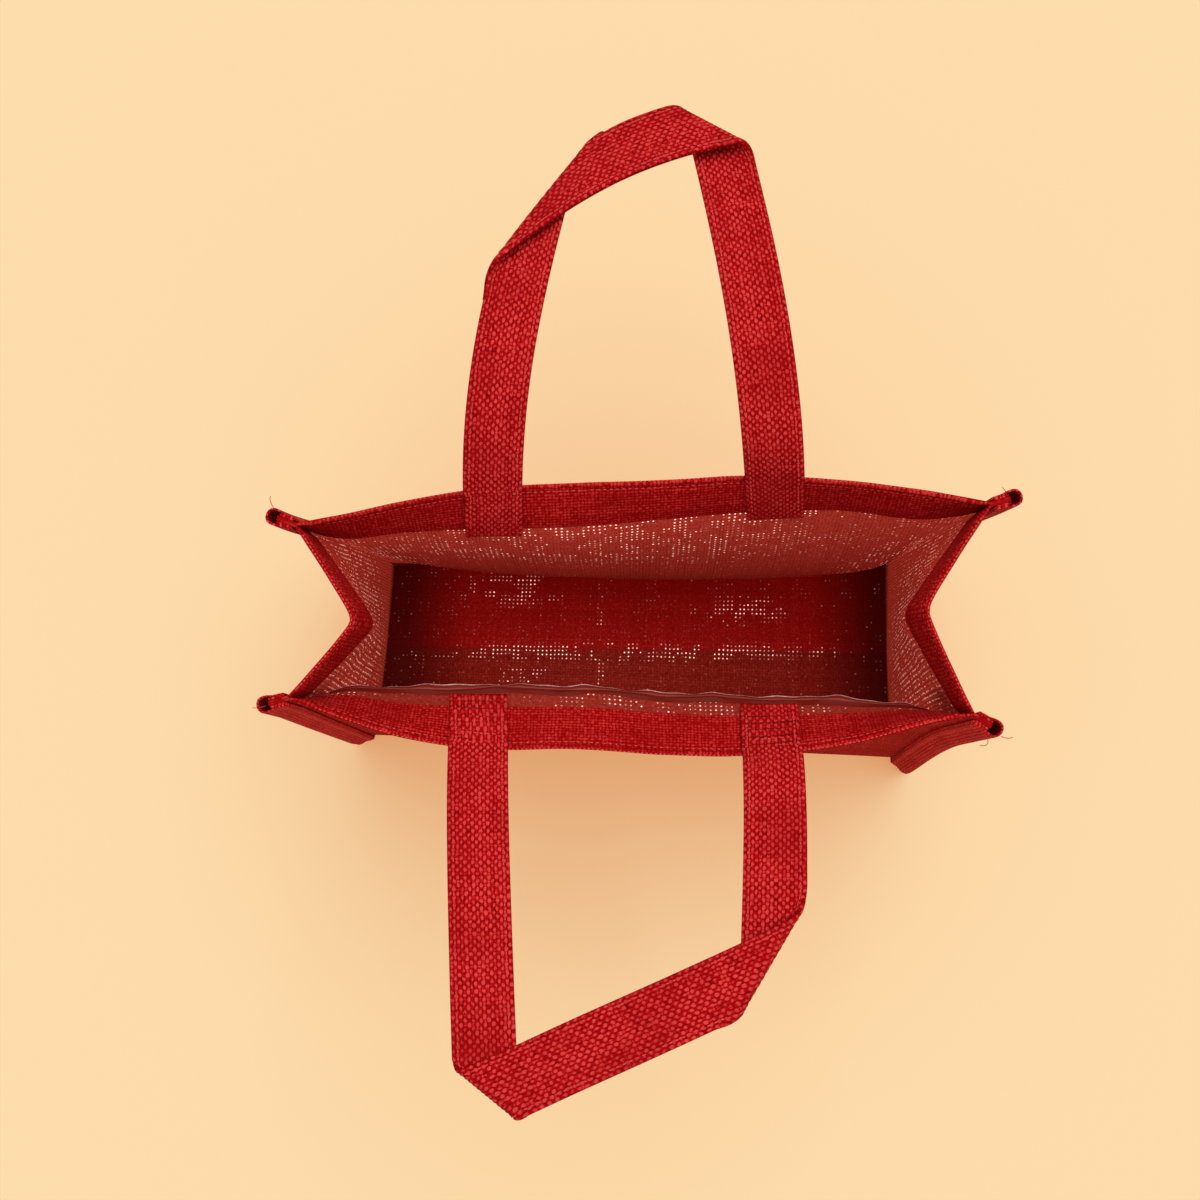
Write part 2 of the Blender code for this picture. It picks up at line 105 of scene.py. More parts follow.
# How far each wall stands from the middle plane: at its belly, at its knee, which is the front crease
# or the back hem's lower edge, and at the rim. Each row is a place along the mouth.
Station = namedtuple("Station", "x belly knee rim")
WALLS = {
    "front": [
        Station(-177, -50, -46, -44.5),
        Station(-160, -46, -39, -51.5),
        Station(-125, -45, -39, -63.5),
        Station(-80, -44, -37.5, -70.5),
        Station(-30, -44, -38.5, -70.5),
        Station(15, -45, -41.5, -73.5),
        Station(60, -46, -43.5, -73.5),
        Station(110, -48, -45.5, -67),
        Station(150, -52, -49.5, -56.5),
        Station(166.5, -57, -54.5, -53),
    ],
    "back": [
        Station(-175, 51, 46, 45),
        Station(-158, 46, 43.5, 49),
        Station(-125, 41, 46.5, 57),
        Station(-80, 37, 49, 65.5),
        Station(-30, 35, 50, 68.5),
        Station(15, 35, 54, 69.5),
        Station(60, 36, 57.5, 71.3),
        Station(110, 38, 58, 67.5),
        Station(150, 42, 52.5, 61.5),
        Station(178, 57, 54.5, 54),
    ],
}

# The hem's inner layer: how far below the rim, and how far inside the wall it lies. It is drawn in by
# the line of stitches and stands a little off below it.
Layer = namedtuple("Layer", "below inside")
HEM_LAYER = [
    Layer(0, 1.7),
    Layer(2.2, 1.7),
    Layer(4, 1.15),
    Layer(6.5, 1.7),
    Layer(20, 1.8),
    Layer(HEM, 1.4),
]
HEM_ROWS = [1.5, 2.6, 4, 5.4, 7.5, 11, 15, 19, 23, 26.2, HEM]
CORNER_TAPER = 7.0
TAPER_LEAST = 0.12
TURN_ROWS = 5

# Where the base is creased from being stored flat, at its left and right ends, and how it stands up
# there.
BASE_CREASE = (1.6, -2.7)
BASE_RIDGE = 1.7
BASE_RIDGE_RUN = 8.0
RIPPLE = 0.35
RIPPLE_FROM_BASE = 40
RIPPLE_FROM_SEAM = 0.05
BEND_RUN = 1.6 * BEND

BEND_PARTS = np.linspace(0, 1, 9)[1:-1]
HALF_BASE_ROWS = np.array(
    [1 - BEND / HALF_DEPTH, 0.8, 0.72, 0.64, 0.56, 0.48, 0.4, 0.32, 0.25, 0.19, 0.14, 0.1, 0.06, 0.03]
)


def unit(vectors):
    return vectors / np.maximum(np.linalg.norm(vectors, axis=-1, keepdims=True), 1e-9)


def travelled(points):
    """How far along a line of points each one lies."""
    return np.concatenate([[0], np.linalg.norm(np.diff(points, axis=0), axis=1).cumsum()])


def read_at(at, places, points):
    """Points read off a line of points at other places along it."""
    return np.stack([np.interp(at, places, points[:, axis]) for axis in range(points.shape[1])], axis=1)


def ease(value):
    """0 to 1 with a soft start and end."""
    value = np.clip(value, 0, 1)
    return value * value * (3 - 2 * value)


def smooth(places, values, at):
    """A soft curve through values, read at some places. The values may be one array for each place."""
    places = np.asarray(places, float)
    values = np.asarray(values, float)
    slopes = np.gradient(values, places, axis=0)
    at = np.clip(at, places[0], places[-1])
    span = np.clip(np.searchsorted(places, at, side="right") - 1, 0, len(places) - 2)
    width = places[span + 1] - places[span]
    part = (at - places[span]) / width

    def pick(table, index):
        if table.ndim == 1:
            return table[index]
        return np.take_along_axis(table, index, axis=0)

    start, end = pick(values, span), pick(values, span + 1)
    leave, arrive = pick(slopes, span) * width, pick(slopes, span + 1) * width
    square, cube = part**2, part**3
    return (
        (2 * cube - 3 * square + 1) * start
        + (cube - 2 * square + part) * leave
        + (3 * square - 2 * cube) * end
        + (cube - square) * arrive
    )


def column(table, name):
    return [getattr(row, name) for row in table]


def corner_at(face, name, share):
    """A corner's value, blended from the left corner to the right one."""
    left = getattr(CORNER["left", face], name)
    right = getattr(CORNER["right", face], name)
    return left + (right - left) * share


def share_of(face, x):
    """How far along a wall's rim a place is, from 0 at its left corner to 1 at its right one."""
    left, right = CORNER["left", face].rim_x, CORNER["right", face].rim_x
    return (x - left) / (right - left)


def wall_depth(face, x, height):
    """How far a wall stands from the middle plane, at places x along the rim and heights in its cloth."""
    table = WALLS[face]
    places = column(table, "x")
    foot = corner_at(face, "base_y", share_of(face, x))
    belly, knee, rim = (smooth(places, column(table, name), x) for name in ("belly", "knee", "rim"))
    if face == "back":
        return smooth([0, BELLY_HEIGHT, HEM_LINE, HEIGHT], [foot, belly, knee, rim], height)
    below = smooth([0, BELLY_HEIGHT, CREASE_HEIGHT], [foot, belly, knee], height)
    above = knee + (rim - knee) * (height - CREASE_HEIGHT) / (HEIGHT - CREASE_HEIGHT)
    return np.where(height <= CREASE_HEIGHT, below, above)


def edge_lift(x, left, right):
    """The base's side edges ride up on their seam allowances."""
    inset = np.minimum(x - left, right - x)
    return EDGE_LIFT * ease(1 - inset / EDGE_LIFT_RUN)


def wall(face, x, height):
    """Points of a wall's sheet. Its height is measured along the cloth, so a slope lowers the rim."""
    x, height = np.broadcast_arrays(x, height)
    shape = x.shape
    x, height = x.ravel().astype(float), height.ravel().astype(float)
    climb = np.linspace(0, 1, CURVE_STEPS + 1)[:, None] * height
    depth = wall_depth(face, x, climb)
    rise = np.sqrt(np.maximum(np.diff(climb, axis=0) ** 2 - np.diff(depth, axis=0) ** 2, 0)).sum(axis=0)
    left, right = CORNER["left", face].rim_x, CORNER["right", face].rim_x
    foot_x = corner_at(face, "base_x", share_of(face, x))
    along = foot_x + (x - foot_x) * height / HEIGHT
    points = np.stack([along, depth[-1], CLOTH / 2 + edge_lift(x, left, right) + rise], axis=-1)
    return points.reshape(*shape, 3)


def base(share, back):
    """Points of the base's sheet, at a share of its width and from -1, front, to 1, back."""
    share, back = np.broadcast_arrays(share, back)
    ends = [[corner_at(face, name, share) for name in ("base_x", "base_y")] for face in FACE_SIGN]
    x, y = (front + (rear - front) * (back + 1) / 2 for front, rear in zip(*ends))
    width = CORNER["right", "back"].rim_x - CORNER["left", "back"].rim_x
    lift = edge_lift(share * width, 0, width)
    crease = BASE_CREASE[0] + (BASE_CREASE[1] - BASE_CREASE[0]) * share
    ridge = BASE_RIDGE * np.exp(-abs(y - crease) / BASE_RIDGE_RUN) * ease(1 - lift / EDGE_LIFT)
    return np.stack([x, y, CLOTH / 2 + lift + ridge], axis=-1)


def wall_rows():
    """Heights of a wall's rows, rim first: close at the hem's stitches and at the crease."""
    hem = [HEIGHT - below for below in HEM_ROWS]
    above = np.linspace(HEM_LINE, CREASE_HEIGHT + 2, 4)[1:]
    below = np.linspace(CREASE_HEIGHT - 2, BEND, 60)
    return np.array([*hem, *above, CREASE_HEIGHT, *below])


def base_rows():
    """Places of the base's rows from front to back, between the two bends."""
    return np.array([*(-share for share in HALF_BASE_ROWS), 0, *reversed(HALF_BASE_ROWS)])


def panel_grid(share):
    """The body panel's sheet between its corners: front wall, base and back wall as one cloth."""
    rows = {}
    for face in FACE_SIGN:
        left, right = CORNER["left", face].rim_x, CORNER["right", face].rim_x
        x = left + (right - left) * share
        rows[face] = [wall(face, x, height) for height in wall_rows()]
    floor_rows = [base(share, back) for back in base_rows()]
    bends = {}
    for face, next_row in (("front", floor_rows[0]), ("back", floor_rows[-1])):
        sharp = base(share, FACE_SIGN[face])
        foot = rows[face][-1]
        bends[face] = [
            (1 - part) ** 2 * foot + 2 * part * (1 - part) * sharp + part**2 * next_row
            for part in BEND_PARTS
        ]
    front, back = ([*rows[face], *bends[face]] for face in FACE_SIGN)
    return np.array([*front, *floor_rows, *back[::-1]])


def from_corner():
    """How far each row of a seam lies past the nearest bend: negative up the wall, positive on the base."""
    bend = [(part - 0.5) * BEND_RUN for part in BEND_PARTS]
    return [*(-wall_rows()), *bend, *((1 - abs(back)) * HALF_DEPTH for back in base_rows() if back <= 0)]


def seam(side):
    """One side's seam, from the front rim round the base to the back rim: the panel's edge, the way the
    allowance points, and the way from the gusset's layer to the panel's, which is longer than 1 where
    the layers bunch and stand apart round the base's corner."""
    edge = panel_grid(np.array([0.0 if side == "left" else 1.0]))[:, 0]
    flat = np.array([SIDE_SIGN[side], 0, FIN_RISE])
    halves = []
    for face in FACE_SIGN:
        corner = CORNER[side, face]
        half = []
        for past in from_corner():
            height = max(-past, 0)
            angle = math.radians(corner.fin_base + (corner.fin_rim - corner.fin_base) * height / HEIGHT)
            upright = np.array([math.cos(angle), math.sin(angle), 0])
            turned = ease((past + FIN_TURN) / (2 * FIN_TURN))
            half.append(upright * (1 - turned) + flat * turned)
        halves.append(half)
    out = np.array([*halves[0], *reversed(halves[1][:-1])])
    steps = unit(np.diff(edge, axis=0))
    run = unit(np.concatenate([steps[:1], steps[1:] + steps[:-1], steps[-1:]]))
    out = unit(out - (out * run).sum(axis=1, keepdims=True) * run)
    past = np.array([*from_corner(), *reversed(from_corner()[:-1])])
    room = 1 + CORNER_ROOM * np.exp(-((past / CORNER_RUN) ** 2))
    off = SIDE_SIGN[side] * np.cross(run, out) * room[:, None]
    return edge, out, off


def normals(grid):
    """The way out of a grid of points, from the directions of its rows and columns."""
    return unit(np.cross(np.gradient(grid, axis=1), np.gradient(grid, axis=0)))


def ripple(along, up):
    """Small uneven waves in the cloth, from -1 to 1."""
    slow = np.sin(along / 23 + np.sin(up / 31) * 1.7) * np.sin(up / 27 + np.sin(along / 41) * 2.1)
    quick = np.sin(along / 9.1 + up / 17.3) * np.sin(up / 8.3 - along / 13.7)
    return 0.7 * slow + 0.3 * quick


def turned_hem(grid, inward):
    """The rows of a hem, from its sewn-down edge up the inside and over the rim. The grid's first rows
    are the wall from the rim down, and inward is the way into the bag at each of them."""
    from_left = np.linalg.norm(grid[0] - grid[0, :1], axis=1)
    from_right = np.linalg.norm(grid[0] - grid[0, -1:], axis=1)
    full = ease(np.minimum(from_left, from_right) / CORNER_TAPER)[:, None]
    taper = TAPER_LEAST + (1 - TAPER_LEAST) * full
    inside = np.interp(HEM_ROWS, column(HEM_LAYER, "below"), column(HEM_LAYER, "inside"))
    flap = [grid[row] + inward[row] * inside[row] * taper for row in range(len(HEM_ROWS))]
    rise = unit(grid[0] - grid[1])
    radius = inside[0] / 2
    turn = [
        grid[0] + inward[0] * radius * taper * (1 + math.cos(angle)) + rise * radius * math.sin(angle)
        for angle in np.linspace(0, math.pi, TURN_ROWS + 2)[1:-1]
    ]
    return [*flap[::-1], *turn]


def with_wings(rows, columns):
    """Rows that stop at the corners, with their end points repeated where the allowances' columns are."""
    return [np.concatenate([row[:1]] * columns + [row] + [row[-1:]] * columns) for row in rows]


def with_allowances(places):
    """The places of a flat cloth's columns, with two more for the allowance on each side."""
    wide = places[-1] + ALLOWANCE
    return np.array([0, ALLOWANCE / 2, *(places + ALLOWANCE), wide + ALLOWANCE / 2, wide + ALLOWANCE])


def panel_sheet():
    """The body panel's sheet with its hems and seam allowances, and each row's place in the flat cloth."""
    share = np.linspace(0, 1, ACROSS + 1)
    grid = panel_grid(share)
    into = normals(grid)
    walls = wall_rows()
    heights = np.concatenate([walls, np.zeros(len(grid) - 2 * len(walls)), walls[::-1]])
    inset = np.minimum(share, 1 - share) / RIPPLE_FROM_SEAM
    loose = ease(inset)[None] * ease(heights / RIPPLE_FROM_BASE)[:, None]
    width = CORNER["right", "back"].rim_x - CORNER["left", "back"].rim_x
    wave = ripple(share[None] * width, heights[:, None] + 500 * (grid[..., 1] > 0))
    grid = grid + (RIPPLE * wave * loose)[..., None] * into
    hems = turned_hem(grid, into), turned_hem(grid[::-1], into[::-1])[::-1]
    steps = [ALLOWANCE / 2, ALLOWANCE]
    wings = {side: seam(side) for side in SIDE_SIGN}
    left = [wings["left"][0] + step * wings["left"][1] for step in reversed(steps)]
    right = [wings["right"][0] + step * wings["right"][1] for step in steps]
    sheet = np.concatenate([np.stack(left, axis=1), grid, np.stack(right, axis=1)], axis=1)
    first, last = (np.array(with_wings(rows, len(steps))) for rows in hems)
    sheet = np.concatenate([first, sheet, last])
    along = travelled(sheet[:, sheet.shape[1] // 2])
    return sheet, with_allowances(share * width), along


def placed(name, data):
    """Put a mesh or a light in the scene as an object of its own."""
    made = bpy.data.objects.new(name, data)
    bpy.context.scene.collection.objects.link(made)
    return made


MERGE = 0.02
SHARP_ANGLE = 60


def woven_mesh(name, points, across, along, inside_out=False):
    """A grid of faces with its points in millimetres, and the flat cloth's millimetres as its UV map.
    Across and along may be one number for each column and row, or one for each point."""
    rows, columns = points.shape[:2]
    if np.ndim(across) == 1:
        across, along = np.meshgrid(across, along)
    shape = bmesh.new()
    bmesh.ops.create_grid(shape, x_segments=columns - 1, y_segments=rows - 1, size=1)
    flat = shape.loops.layers.uv.new("cloth")
    where = {}
    for vertex in shape.verts:
        row = round((vertex.co.y + 1) / 2 * (rows - 1))
        place = round((vertex.co.x + 1) / 2 * (columns - 1))
        where[vertex] = row, place
    for face in shape.faces:
        face.smooth = True
        for corner in face.loops:
            place = where[corner.vert]
            corner[flat].uv = (across[place] * MM, along[place] * MM)
    for vertex in shape.verts:
        vertex.co = points[where[vertex]] * MM
    bmesh.ops.remove_doubles(shape, verts=shape.verts, dist=MERGE * MM)
    bmesh.ops.dissolve_degenerate(shape, edges=shape.edges, dist=MERGE * MM)
    if inside_out:
        bmesh.ops.reverse_faces(shape, faces=shape.faces)
    mesh = bpy.data.meshes.new(name)
    shape.to_mesh(mesh)
    shape.free()
    return placed(name, mesh)


def give_thickness(piece, thickness, materials):
    """Turn a sheet into cloth, its outer face in the first material and its inner face in the last."""
    for material in materials:
        piece.data.materials.append(material)
    solid = piece.modifiers.new("Thickness", "SOLIDIFY")
    solid.thickness = thickness * MM
    solid.offset = 0
    solid.use_even_offset = False
    solid.material_offset = len(materials) - 1
    finished = bpy.data.meshes.new_from_object(piece.evaluated_get(bpy.context.evaluated_depsgraph_get()))
    piece.modifiers.clear()
    piece.data = finished
    finished.name = piece.name
    finished.set_sharp_from_angle(angle=math.radians(SHARP_ANGLE))


def linear(code):
    """An sRGB hex colour in linear light."""
    parts = [int(code[place : place + 2], 16) / 255 for place in (1, 3, 5)]
    return [*(part / 12.92 if part <= 0.04045 else ((part + 0.055) / 1.055) ** 2.4 for part in parts), 1]


def add(tree, kind, *inputs, out=0, stops=(), **settings):
    """Add a node with its settings, fill or link its inputs, given in order or as a table, and return one
    of its outputs. A word after the kind is its operation or its data type, and a colour ramp has stops,
    which are pairs of a place and a hex colour."""
    kind, _, mode = kind.partition(" ")
    made = tree.nodes.new("ShaderNode" + kind)
    if mode:
        settings["data_type" if kind == "Mix" else "operation"] = mode
    for name, value in settings.items():
        setattr(made, name, value)
    while stops and len(made.color_ramp.elements) < len(stops):
        made.color_ramp.elements.new(0.5)
    for index, (place, code) in enumerate(stops):
        made.color_ramp.elements[index].position = place
        made.color_ramp.elements[index].color = linear(code)
    table = inputs[0] if inputs and isinstance(inputs[0], dict) else dict(enumerate(inputs))
    for key, value in table.items():
        if isinstance(value, bpy.types.NodeSocket):
            tree.links.new(value, made.inputs[key])
        else:
            made.inputs[key].default_value = value
    return made.outputs[out]


def new_material(name, constants):
    """A material with constants set on its shader, and then its node tree and that shader."""
    material = bpy.data.materials.new(name)
    material.use_nodes = True
    shader = material.node_tree.nodes["Principled BSDF"]
    for socket, value in constants.items():
        shader.inputs[socket].default_value = value
    return material, material.node_tree, shader


# Plain weave: the spacing of the yarns, how much of it a yarn fills, how far the yarns wander, and the
# spacing and size of the gaps that are left where yarns lie bunched together.
PITCH = 1.9
YARN_FILL = 0.96
WANDER = 0.88
GAP_PITCH = 2.9
GAP_SPREAD = 0.22
FIBRES_ACROSS = 1100
FIBRES_ALONG = 330
Weave = namedtuple("Weave", "flat height tone spark fibre grain gap glint")


def weave(tree, lead):
    """Nodes that draw a plain weave on the flat cloth: how high its surface is, how dark each yarn was
    dyed, a random brightness for each crossing that is used for painted highlights, the streaks and
    slubs of the fibres, and the gaps between the yarns with a random brightness for each, used for
    painted dots of light. Lead is how much higher the lengthwise yarns stand than the crosswise ones."""
    node = partial(add, tree)
    flat = node("UVMap", uv_map="cloth")
    sway = node("TexNoise", {"Vector": flat, "Scale": 90, "Detail": 2, "Roughness": 0.6}, out=1)
    centred = node("VectorMath SUBTRACT", sway, (0.5, 0.5, 0.5))
    wander = node("VectorMath SCALE", {0: centred, "Scale": WANDER})
    yarns = node("VectorMath SCALE", {0: flat, "Scale": 1 / (PITCH * MM)})
    places = node("VectorMath ADD", yarns, wander)
    cells = node("VectorMath FLOOR", places)
    parts = node("VectorMath FRACTION", places)
    warp, weft = (node("SeparateXYZ", cells, out=axis) for axis in (0, 1))
    across, along = (node("Math SUBTRACT", node("SeparateXYZ", parts, out=axis), 0.5) for axis in (0, 1))
    even = node("Math FLOORED_MODULO", node("Math ADD", warp, weft), 2)
    sign = node("Math SUBTRACT", 1, node("Math MULTIPLY", even, 2))

    def yarn(side, length, lift, stand):
        """The height of one yarn, from its round section and its rise and fall."""
        wide = node("Math MULTIPLY", side, 2 / YARN_FILL)
        left_over = node("Math SUBTRACT", 1, node("Math MULTIPLY", wide, wide))
        round_top = node("Math SQRT", node("Math MAXIMUM", left_over, 0))
        wave = node("Math COSINE", node("Math MULTIPLY", length, math.pi))
        rise = node("Math MULTIPLY", node("Math MULTIPLY", wave, lift), 0.42)
        return node("Math MULTIPLY_ADD", round_top, 0.55 + stand, rise)

    warp_top = yarn(across, along, sign, lead)
    weft_top = yarn(along, across, node("Math MULTIPLY", sign, -1), -lead)
    over = node("Math GREATER_THAN", warp_top, weft_top)
    height = node("Math MAXIMUM", warp_top, weft_top)
    of_weft = node("Math MULTIPLY", node("Math SUBTRACT", 1, over), node("Math ADD", weft, 0.5))
    own = node("Math MULTIPLY_ADD", over, warp, of_weft)
    tone = node("TexWhiteNoise", {"W": own}, noise_dimensions="1D")
    spark = node("TexWhiteNoise", cells, noise_dimensions="2D")
    lengthwise = node("VectorMath MULTIPLY", flat, (FIBRES_ACROSS, FIBRES_ALONG, 1))
    crosswise = node("VectorMath MULTIPLY", flat, (FIBRES_ALONG, FIBRES_ACROSS, 1))
    streaks = node("Mix VECTOR", {0: over, 4: crosswise, 5: lengthwise}, out=1)
    grain = node("TexNoise", {"Vector": streaks, "Scale": 1, "Detail": 1})
    fibre = node("TexNoise", {"Vector": streaks, "Scale": 3.3, "Detail": 2, "Roughness": 0.65})
    bunched = node("VectorMath SCALE", {0: places, "Scale": PITCH / GAP_PITCH})
    shifted = node("VectorMath ADD", bunched, (0.5, 0.5, 0))
    glint = node("TexWhiteNoise", node("VectorMath FLOOR", shifted), noise_dimensions="2D")
    beside = node("VectorMath FRACTION", shifted)
    from_gap = node("VectorMath DISTANCE", beside, (0.5, 0.5, 0), out=1)
    gap = node("MapRange", from_gap, GAP_SPREAD / 3, GAP_SPREAD, 1, 0)
    return Weave(flat, height, tone, spark, fibre, grain, gap, glint)


def dyed_jute(name, gap, shade, body, light, lead):
    """Jute yarn dyed in the cloth and woven plain: hairy matt yarns, with painted shade in the gaps
    between them and painted highlights on a few crowns. The dye took unevenly from place to place and
    along each yarn."""
    constants = {"Roughness": 0.88, "Specular IOR Level": 0.06, "Sheen Weight": 0.05}
    constants |= {"Sheen Roughness": 0.45, "Sheen Tint": linear("#e0453c")}
    material, tree, shader = new_material(name, constants)
    node = partial(add, tree)
    cloth = weave(tree, lead)
    # The colour follows the weave's relief: painted shade low in the gaps, lighter crowns as painted
    # highlights, and a few crowns picked at random for brighter painted glints, over the dye's own
    # unevenness.
    dyed = node("Math MULTIPLY_ADD", cloth.tone, 0.2, node("Math MULTIPLY_ADD", cloth.fibre, 0.5, -0.98))
    slubs = node("Math MULTIPLY_ADD", cloth.grain, 1.3, dyed)
    caught = node("Math MULTIPLY_ADD", node("Math POWER", cloth.spark, 2), 0.2, slubs)
    level = node("Math MULTIPLY_ADD", cloth.height, 0.8, caught)
    colour = node("ValToRGB", level, stops=((0.08, gap), (0.3, shade), (0.66, body), (0.98, light)))
    patch = node("TexNoise", {"Vector": cloth.flat, "Scale": 26, "Detail": 3, "Roughness": 0.55})
    soft = node("MapRange", {"Value": patch, "From Min": 0.42, "From Max": 0.66, "To Max": 0.5})
    stained = node("Mix RGBA", {0: soft, 6: colour, 7: linear(shade)}, out=2)
    relief = node("Math MULTIPLY_ADD", cloth.fibre, 0.35, cloth.height)
    normal = node("Bump", {"Strength": 0.55, "Distance": 0.6 * MM, "Height": relief})
    tree.links.new(stained, shader.inputs["Base Color"])
    tree.links.new(normal, shader.inputs["Normal"])
    return material


# Where the painted dots of light at the gaps between the yarns are brightest: patches on the base and
# on the walls, each with its middle, how far it reaches along X, Y and Z, and its strength.
Patch = namedtuple("Patch", "x y z wide deep high strength")
PATCHES = [
    Patch(-90, 43, 0, 44, 17, 20, 0.9),
    Patch(-75, -22, 0, 34, 12, 20, 0.8),
    Patch(76, 27, 0, 44, 13, 20, 0.8),
    Patch(-28, -4, 0, 3, 62, 20, 0.8),
    Patch(-8, -2.8, 0, 190, 8, 20, 1.15),
    Patch(0, 55, 266, 165, 25, 16, 1.5),
    Patch(-30, 50, 238, 190, 30, 50, 0.75),
    Patch(-165, 0, 175, 60, 100, 160, 0.95),
    Patch(165, 0, 175, 60, 100, 160, 0.85),
    Patch(40, -45, 262, 130, 12, 14, 0.7),
]


# How the yarns look through the film, from the dark between them, which is painted shade, to their
# crowns, which are lighter as painted highlight: on the walls, and on the base behind its crease and
# in front of it.
FILM_STOPS = (0.1, 0.45, 0.75, 1.0)
FILM_REDS = {
    "wall": ("#781408", "#a62a1c", "#b63828", "#cc5c4c"),
    "back": ("#780202", "#b00804", "#bc0e0a", "#cc3a30"),
    "front": ("#641006", "#941c0e", "#a02816", "#b84434"),
}


def film_on_jute(name):
    """The inner face of the cloth: a thin clear film pressed on to the weave. The yarns show through it
    a duller, browner red. A little daylight comes through the open weave, most of it at the gaps
    between the yarns; it is painted on, as pale dots in the colour and as a glow of the film."""
    constants = {"Roughness": 0.65, "Specular IOR Level": 0.08, "Emission Strength": 1}
    material, tree, shader = new_material(name, constants)
    material.cycles.emission_sampling = "NONE"
    node = partial(add, tree)
    cloth = weave(tree, 0.06)
    dyed = node("Math MULTIPLY_ADD", cloth.tone, 0.3, node("Math MULTIPLY_ADD", cloth.grain, 1.7, -1.0))
    level = node("Math MULTIPLY_ADD", cloth.height, 0.8, dyed)
    on = {
        part: node("ValToRGB", level, stops=tuple(zip(FILM_STOPS, reds)))
        for part, reds in FILM_REDS.items()
    }

    # The base's red is purer behind its crease than in front of it, partly from the film and partly as
    # painted light and shade on the two halves, and it is darkened beside the gussets with painted shade.
    place = node("TexCoord", out=3)
    x, y, z = (node("SeparateXYZ", place, out=axis) for axis in range(3))
    slope = (BASE_CREASE[1] - BASE_CREASE[0]) / (2 * CORNER["right", "back"].base_x)
    crease = node("Math MULTIPLY_ADD", x, slope, sum(BASE_CREASE) / 2 * MM)
    behind = node("MapRange", node("Math SUBTRACT", y, crease), -2 * MM, 1 * MM, 0, 1)
    sideways = node("Math ABSOLUTE", x)
    # Painted shade at the base's ends, where the gussets' folds overhang it; it also takes away the painted
    # glow there.
    gusset_shade = node("MapRange", sideways, 120 * MM, 165 * MM, 0, 0.85)
    raised = node("MapRange", z, 6 * MM, 22 * MM, 0, 1)
    colour = on["front"]
    for share, over in ((behind, on["back"]), (gusset_shade, linear("#580000")), (raised, on["wall"])):
        colour = node("Mix RGBA", {0: share, 6: colour, 7: over}, out=2)

    # The dots are painted light, pale in the colour and brightest in the patches.
    pale = 0
    for patch in PATCHES:
        far = 0
        for value, centre, reach in zip((x, y, z), patch[:3], patch[3:6]):
            part = node("Math DIVIDE", node("Math SUBTRACT", value, centre * MM), reach * MM)
            far = node("Math MULTIPLY_ADD", part, part, far)
        pale = node("Math MAXIMUM", pale, node("MapRange", far, 0.2, 1, patch.strength, 0))
    blotch = node("TexNoise", {"Vector": cloth.flat, "Scale": 70, "Detail": 3, "Roughness": 0.7})
    uneven = node("Math MULTIPLY_ADD", cloth.glint, 0.6, node("Math MULTIPLY", blotch, 0.3))
    bright = node("MapRange", node("Math MULTIPLY_ADD", pale, 0.8, uneven), 0.5, 1.35, 0, 1)
    dots = node("Math MULTIPLY", cloth.gap, node("Math POWER", bright, 2))

    # The top of the front wall leans over and is in shade.
    leaning = node("MapRange", y, -36 * MM, -40 * MM, 0, 0.6)
    drawn = node("Math MULTIPLY", leaning, node("MapRange", z, 190 * MM, 240 * MM, 0, 1))
    for share, over in ((drawn, linear("#6a140c")), (dots, linear("#ffe3d4"))):
        colour = node("Mix RGBA", {0: share, 6: colour, 7: over}, out=2)

    # The daylight that comes through the base and the walls with their gussets, painted as a glow of the
    # film in linear light, and how much more of it comes between the yarns and at the dots. The glow is
    # weaker where painted shade lies, beside the gussets and at the top of the front wall.
    in_gusset = node("MapRange", sideways, 150 * MM, 160 * MM, 0, 1)
    high = node("MapRange", z, 140 * MM, 270 * MM, 0, 1)
    by_base, by_wall = (0.03, 0.001, 0.0005, 1), (0.03, 0.002, 0.001, 1)
    for share, light in ((behind, (0.045, 0.0008, 0.0004, 1)), (gusset_shade, (0, 0, 0, 1))):
        by_base = node("Mix RGBA", {0: share, 6: by_base, 7: light}, out=2)
    for share, light in ((high, (0.15, 0.014, 0.009, 1)), (in_gusset, (0.15, 0.014, 0.008, 1))):
        by_wall = node("Mix RGBA", {0: share, 6: by_wall, 7: light}, out=2)
    through = node("Mix RGBA", {0: raised, 6: by_base, 7: by_wall}, out=2)
    through = node("Mix RGBA", {0: drawn, 6: through, 7: (0.01, 0.001, 0.001, 1)}, out=2)
    thin = node("MapRange", cloth.height, 0.25, 0.95, 2.2, 0.3)
    through = node("VectorMath SCALE", {0: through, "Scale": thin})
    through = node("Mix RGBA", {0: dots, 6: through, 7: (1.9, 1.0, 0.8, 1)}, out=2)
    normal = node("Bump", {"Strength": 0.4, "Distance": 0.4 * MM, "Height": cloth.height})
    for socket, value in (("Base Color", colour), ("Normal", normal), ("Emission Color", through)):
        tree.links.new(value, shader.inputs[socket])
    return material


body_jute = dyed_jute("Dyed jute, plain weave", "#3a0001", "#900204", "#ac0406", "#d23430", -0.04)
filmed_jute = film_on_jute("Film on the inner face of the jute")

sheet, across, along = panel_sheet()
body_panel = woven_mesh("body_panel_cloth", sheet, across, along, inside_out=True)
give_thickness(body_panel, CLOTH, (body_jute, filmed_jute))
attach(body_panel, "root")
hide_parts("body_panel")


